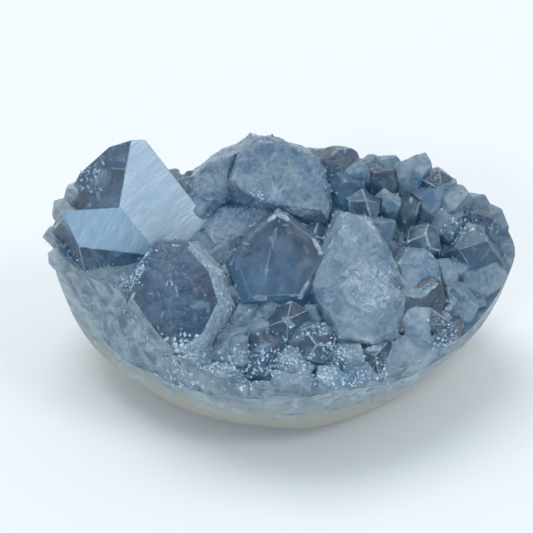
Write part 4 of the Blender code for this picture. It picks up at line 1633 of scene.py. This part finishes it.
def trim_below(thing, height_at):
    """Trims crystals to a sheet below them."""
    above = sheet_block("above_sheet", height_at, SHEET_TOP, CRYSTAL_SHEET)
    mark_whole(above, UNDER)
    solid_step(thing, "INTERSECT", above)
    remove(above)


def trim(thing, inward, height_at):
    """Trims crystals to the worn outside and to a sheet below them."""
    outside = geode_outside("worn_outside", inward, SHELL_FINENESS)
    mark_whole(outside, WORN)
    solid_step(thing, "INTERSECT", outside)
    remove(outside)
    trim_below(thing, height_at)


def stand_for(thing, node):
    """Attaches a finished piece to the root body, hides the CAD node it takes the place of, and
    stops where it came out empty.
    """
    if not thing.data.polygons:
        raise RuntimeError(f"{thing.name} came out empty")
    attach(thing, "root")
    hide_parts(node)


class GEODE_OT_crystals(bpy.types.Operator):
    """Crystals grown together on their bed"""

    bl_idname = "geode.crystals"
    bl_label = "Crystals"

    def execute(self, context):
        shape = context.scene.geode_shape
        bed = sheet_block("bed", bed_height, SHEET_BOTTOM, BED_SHEET)
        mark_whole(bed, CLEAR)
        milky = [bed, *large_crystals(shape, False), *rough_crystals(shape, False)]
        milky = join_solids("milky_crystals", milky)
        clear = [*large_crystals(shape, True, SEAM), *rough_crystals(shape, True, SEAM)]
        clear = join_solids("clear_crystals", clear)
        sockets = [*large_crystals(shape, True, 0.0, False), *rough_crystals(shape, True)]
        sockets = join_solids("sockets", sockets)
        trim_below(sockets, lambda x, t: root_height(x, t) - SEAM)
        solid_step(milky, "DIFFERENCE", sockets)
        remove(sockets)
        cut_chips([milky, clear])
        trim(milky, MILKY_GAP, lambda x, t: rind_height(x, t) - UNDER_CRUST)
        trim(clear, CLEAR_GAP, root_height)
        keep_largest(milky)
        materials = piece_materials(context.scene.geode_look)
        for thing in (milky, clear):
            dress(thing, materials[thing.name])
            thing.data.transform(rim_to_world())
            stand_for(thing, "crystal_crust")
        return {"FINISHED"}


def crumb_models(chance):
    """A few angular crumbs, each as its corners and faces, about one unit across."""
    models = []
    for number in range(CRUMB_MODELS):
        thing = start_block(f"crumb_{number}", 1.0, (0.0, 0.0, 0.0))
        for _ in range(CRUMB_CUTS):
            way = direction(chance.uniform(0.0, 360.0), chance.uniform(*CRUMB_RISE))
            slice_off(way * chance.uniform(*CRUMB_REACH), way)
        close_block(thing)
        corners = [vert.co.copy() for vert in thing.data.vertices]
        models.append((corners, [tuple(face.vertices) for face in thing.data.polygons]))
        remove(thing)
    return models


def crumb_places(tree, chance):
    """Where the crumbs lie: in the marked patches, along the rim and in the crevices."""

    def height(x, t):
        hit = tree.ray_cast(Vector((x, t, ABOVE_ALL)), DOWN)[0]
        return hit.z if hit else None

    places = []
    for x, t, wide, count, size in CRUMB_PATCHES:
        for _ in range(count):
            at_x = chance.gauss(x, wide)
            at_t = chance.gauss(t, PATCH_DEPTH * wide)
            n = height(at_x, at_t)
            if n is not None and plan_reach(at_x, at_t) < 1.0:
                places.append((at_x, at_t, n, size * chance.uniform(*CRUMB_SIZES)))
    for _ in range(CREVICE_TRIES):
        x = chance.uniform(*BED_X)
        t = chance.uniform(*BED_T)
        size = chance.uniform(*CREVICE_SIZES)
        if plan_reach(x, t) > CREVICE_RIM:
            continue
        n = height(x, t)
        if n is None:
            continue
        around = [height(x + CREVICE_WIDTH * dx, t + CREVICE_WIDTH * dt) for dx, dt in AROUND]
        if None not in around and sum(around) / len(AROUND) - n > CREVICE_DEPTH:
            places.append((x, t, n, size))
    return places


class GEODE_OT_crumbs(bpy.types.Operator):
    """Crumbs of broken crystal in the crevices and along the rim"""

    bl_idname = "geode.crumbs"
    bl_label = "Crumbs"

    def execute(self, context):
        chance = random.Random(CRUMB_SEED)
        models = crumb_models(chance)
        pieces = []
        tree = piece_tree("milky_crystals", "clear_crystals")
        for x, t, n, size in crumb_places(tree, chance):
            turn = Euler([chance.uniform(0.0, FULL_TURN) for _ in range(3)]).to_matrix()
            stretch = Vector([size * chance.uniform(*CRUMB_SIZES) for _ in range(3)])
            place = Vector((x, t, n - CRUMB_SINK * size))
            pieces.append((chance.choice(models), turn, stretch, place))
        scatter_piece("crystal_crumbs", pieces)
        return {"FINISHED"}


def flaw_places(tree, chance):
    """Needles and flakes inside the clear crystals: place, way, length, width, thickness."""
    places = []
    for start, end, count, spread, length, width in FLAW_LINES:
        start = Vector(start)
        end = Vector(end)
        for _ in range(count):
            middle = start.lerp(end, chance.random())
            middle += Vector([chance.gauss(0.0, spread) for _ in range(3)])
            way = (end - start).normalized()
            way += Vector([chance.gauss(0.0, LINE_TURN) for _ in range(3)])
            size = length * chance.uniform(*LINE_LENGTHS)
            across = width * chance.uniform(*LINE_WIDTHS)
            places.append((middle, way, size, across, LINE_THICKNESS))
    for _ in range(FLAW_TRIES):
        x = chance.uniform(*BED_X)
        t = chance.uniform(*BED_T)
        depth = chance.uniform(*FLAW_DEPTHS)
        way = Vector([chance.gauss(0.0, 1.0) for _ in range(3)])
        size = chance.uniform(*FLAW_SIZES)
        if chance.random() < FLAKE_SHARE:
            width = size * chance.uniform(*FLAKE_WIDTHS)
        else:
            width = chance.uniform(*NEEDLE_WIDTHS)
        top = tree.ray_cast(Vector((x, t, ABOVE_ALL)), DOWN)[0]
        if top is None:
            continue
        under = tree.ray_cast(top + DOWN * FLAW_START, DOWN)[0]
        if under is None or top.z - under.z < LEAST_CLEAR:
            continue
        middle = top.lerp(under, depth) + DOWN * FLAW_SINK
        if tree.find_nearest(middle)[3] >= FLAW_ROOM * size:
            places.append((middle, way, size, width, FLAKE_THICKNESS))
    return places


def piece_tree(*names):
    """The surface of finished pieces in the level frame, for finding heights."""
    level = rim_to_world().inverted()
    corners = []
    faces = []
    for name in names:
        mesh = bpy.data.objects[name].data
        start = len(corners)
        corners += [level @ vert.co for vert in mesh.vertices]
        faces += [[start + index for index in face.vertices] for face in mesh.polygons]
    return BVHTree.FromPolygons(corners, faces)


def scatter_piece(name, pieces):
    """One mesh of many small bodies: each a model with its turn, stretch and place."""
    points = []
    sides = []
    for (shape, shell), turn, stretch, place in pieces:
        start = len(points)
        points += [place + turn @ (corner * stretch) for corner in shape]
        sides += [[start + index for index in side] for side in shell]
    mesh = bpy.data.meshes.new(name)
    mesh.from_pydata(points, [], sides)
    mesh.transform(rim_to_world())
    thing = bpy.data.objects.new(name, mesh)
    bpy.context.scene.collection.objects.link(thing)
    for material in piece_materials(bpy.context.scene.geode_look)[name]:
        mesh.materials.append(material)
    stand_for(thing, "crystal_crust")


class GEODE_OT_flaws(bpy.types.Operator):
    """Fine cracks and needles inside the clear crystals"""

    bl_idname = "geode.flaws"
    bl_label = "Flaws"

    def execute(self, context):
        chance = random.Random(CRUMB_SEED + 1)
        models = crumb_models(chance)
        pieces = []
        tree = piece_tree("clear_crystals")
        for middle, way, length, width, thick in flaw_places(tree, chance):
            turn = way.to_track_quat("X", "Z").to_matrix()
            spin = Matrix.Rotation(chance.uniform(0.0, FULL_TURN), 3, "X")
            stretch = Vector((length, width, thick)) / CRUMB_ACROSS
            pieces.append((chance.choice(models), turn @ spin, stretch, middle))
        scatter_piece("inner_flaws", pieces)
        return {"FINISHED"}


class GEODE_OT_rind(bpy.types.Operator):
    """Worn rind under the crystals"""

    bl_idname = "geode.rind"
    bl_label = "Rind"

    def execute(self, context):
        rind = geode_outside("worn_rind", SIDE_GAP, RIND_FINENESS)
        above = sheet_block("above_rind", rind_top, SHEET_TOP, RIND_SHEET)
        mark_whole(rind, WORN)
        mark_whole(above, UNDER)
        solid_step(rind, "DIFFERENCE", above)
        remove(above)
        chance = random.Random(KNOB_SEED)
        for x, t, n, width in RIND_KNOBS:
            row = (x, t, n, width, KNOB_BEARING, KNOB_LEAN, KNOB_TURN * t)
            knob = rough_crystal("knob", row, width * KNOB_LENGTH, chance, KNOB_WEAR)[0]
            mark_whole(knob, WORN)
            solid_step(rind, "UNION", knob)
            remove(knob)
        rind.data.transform(rim_to_world())
        floor = start_block("resting_spot", RESTING_BLOCK, (0.0, 0.0, -0.5 * RESTING_BLOCK))
        close_block(floor)
        mark_whole(floor, WORN)
        solid_step(rind, "DIFFERENCE", floor)
        remove(floor)
        dress(rind, piece_materials(context.scene.geode_look)["worn_rind"])
        stand_for(rind, "matrix_rind")
        return {"FINISHED"}


def soft_room():
    """A pale room: dark high in front, bright low in front and at the back."""
    world = bpy.data.worlds.new("soft_room")
    world.use_nodes = True
    tree = world.node_tree
    way = put(tree, "ShaderNodeTexCoord").outputs["Generated"]
    parts = put(tree, "ShaderNodeSeparateXYZ", {"Vector": way}).outputs
    smooth = {"interpolation_type": "SMOOTHSTEP"}
    depth = stretched(tree, parts["Y"], *BACK_FROM, **smooth)
    low = stretched(tree, parts["Z"], *LOW_FROM, **smooth)
    colour = blend_colour(tree, low, ROOM_DARK, ROOM_LOW)
    colour = blend_colour(tree, depth, colour, ROOM_BACK)
    back = tree.nodes["Background"]
    tree.links.new(colour, back.inputs["Color"])
    back.inputs["Strength"].default_value = ROOM_STRENGTH
    return world


def add_light(name, place, size, power):
    """A round soft light turned to the geode."""
    deselect()
    bpy.ops.object.light_add(type="AREA", location=place)
    light = bpy.context.object
    light.name = name
    light.data.shape = "DISK"
    light.data.size = size
    light.data.energy = power
    light.data.color = LIGHT_COLOUR
    aim = LIGHT_AIM - Vector(place)
    light.rotation_euler = aim.to_track_quat("-Z", "Y").to_euler()


def add_camera():
    """The camera, looking down at the geode from the front."""
    deselect()
    down = math.radians(CAMERA_DOWN)
    way = Vector((0.0, math.cos(down), -math.sin(down)))
    bpy.ops.object.camera_add(location=CAMERA_AIM - way * CAMERA_DISTANCE)
    camera = bpy.context.object
    camera.name = "camera"
    camera.rotation_euler = way.to_track_quat("-Z", "Y").to_euler()
    camera.data.sensor_width = CAMERA_SENSOR
    camera.data.lens = CAMERA_LENS
    camera.data.clip_start, camera.data.clip_end = CAMERA_CLIP
    return camera


class GEODE_OT_stage(bpy.types.Operator):
    """Pale table, soft light and the camera"""

    bl_idname = "geode.stage"
    bl_label = "Stage"

    def execute(self, context):
        scene = context.scene
        deselect()
        bpy.ops.mesh.primitive_plane_add(size=TABLE_SIZE, location=(0.0, 0.0, 0.0))
        floor = context.object
        floor.name = "table_top"
        floor.data.materials.append(table_cover(scene.geode_look))
        scene.world = soft_room()
        for row in LIGHTS:
            add_light(*row)
        scene.camera = add_camera()
        scene.view_settings.view_transform = "Standard"
        return {"FINISHED"}


class GEODE_PT_panel(bpy.types.Panel):
    """Lists the pieces of the geode"""

    bl_idname = "GEODE_PT_panel"
    bl_label = "Celestite geode"
    bl_space_type = "VIEW_3D"
    bl_region_type = "UI"
    bl_category = "Geode"

    def draw(self, context):
        layout = self.layout
        for kind in PIECES:
            layout.operator(kind.bl_idname)
        for group in (context.scene.geode_shape, context.scene.geode_look):
            for name in group.__annotations__:
                layout.prop(group, name)


PIECES = (GEODE_OT_crystals, GEODE_OT_rind, GEODE_OT_crumbs, GEODE_OT_flaws, GEODE_OT_stage)
CLASSES = (GeodeShape, GeodeLook, *PIECES, GEODE_PT_panel)


def register():
    """Registers the classes and hangs the values on the scene."""
    for kind in CLASSES:
        bpy.utils.register_class(kind)
    bpy.types.Scene.geode_shape = PointerProperty(type=GeodeShape)
    bpy.types.Scene.geode_look = PointerProperty(type=GeodeLook)


def unregister():
    """Takes the classes and values away again."""
    del bpy.types.Scene.geode_look
    del bpy.types.Scene.geode_shape
    for kind in reversed(CLASSES):
        bpy.utils.unregister_class(kind)


def main():
    """Builds the geode on its table."""
    register()
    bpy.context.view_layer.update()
    bpy.ops.geode.crystals()
    bpy.ops.geode.rind()
    bpy.ops.geode.crumbs()
    bpy.ops.geode.flaws()
    bpy.ops.geode.stage()


if __name__ == "__main__":
    main()
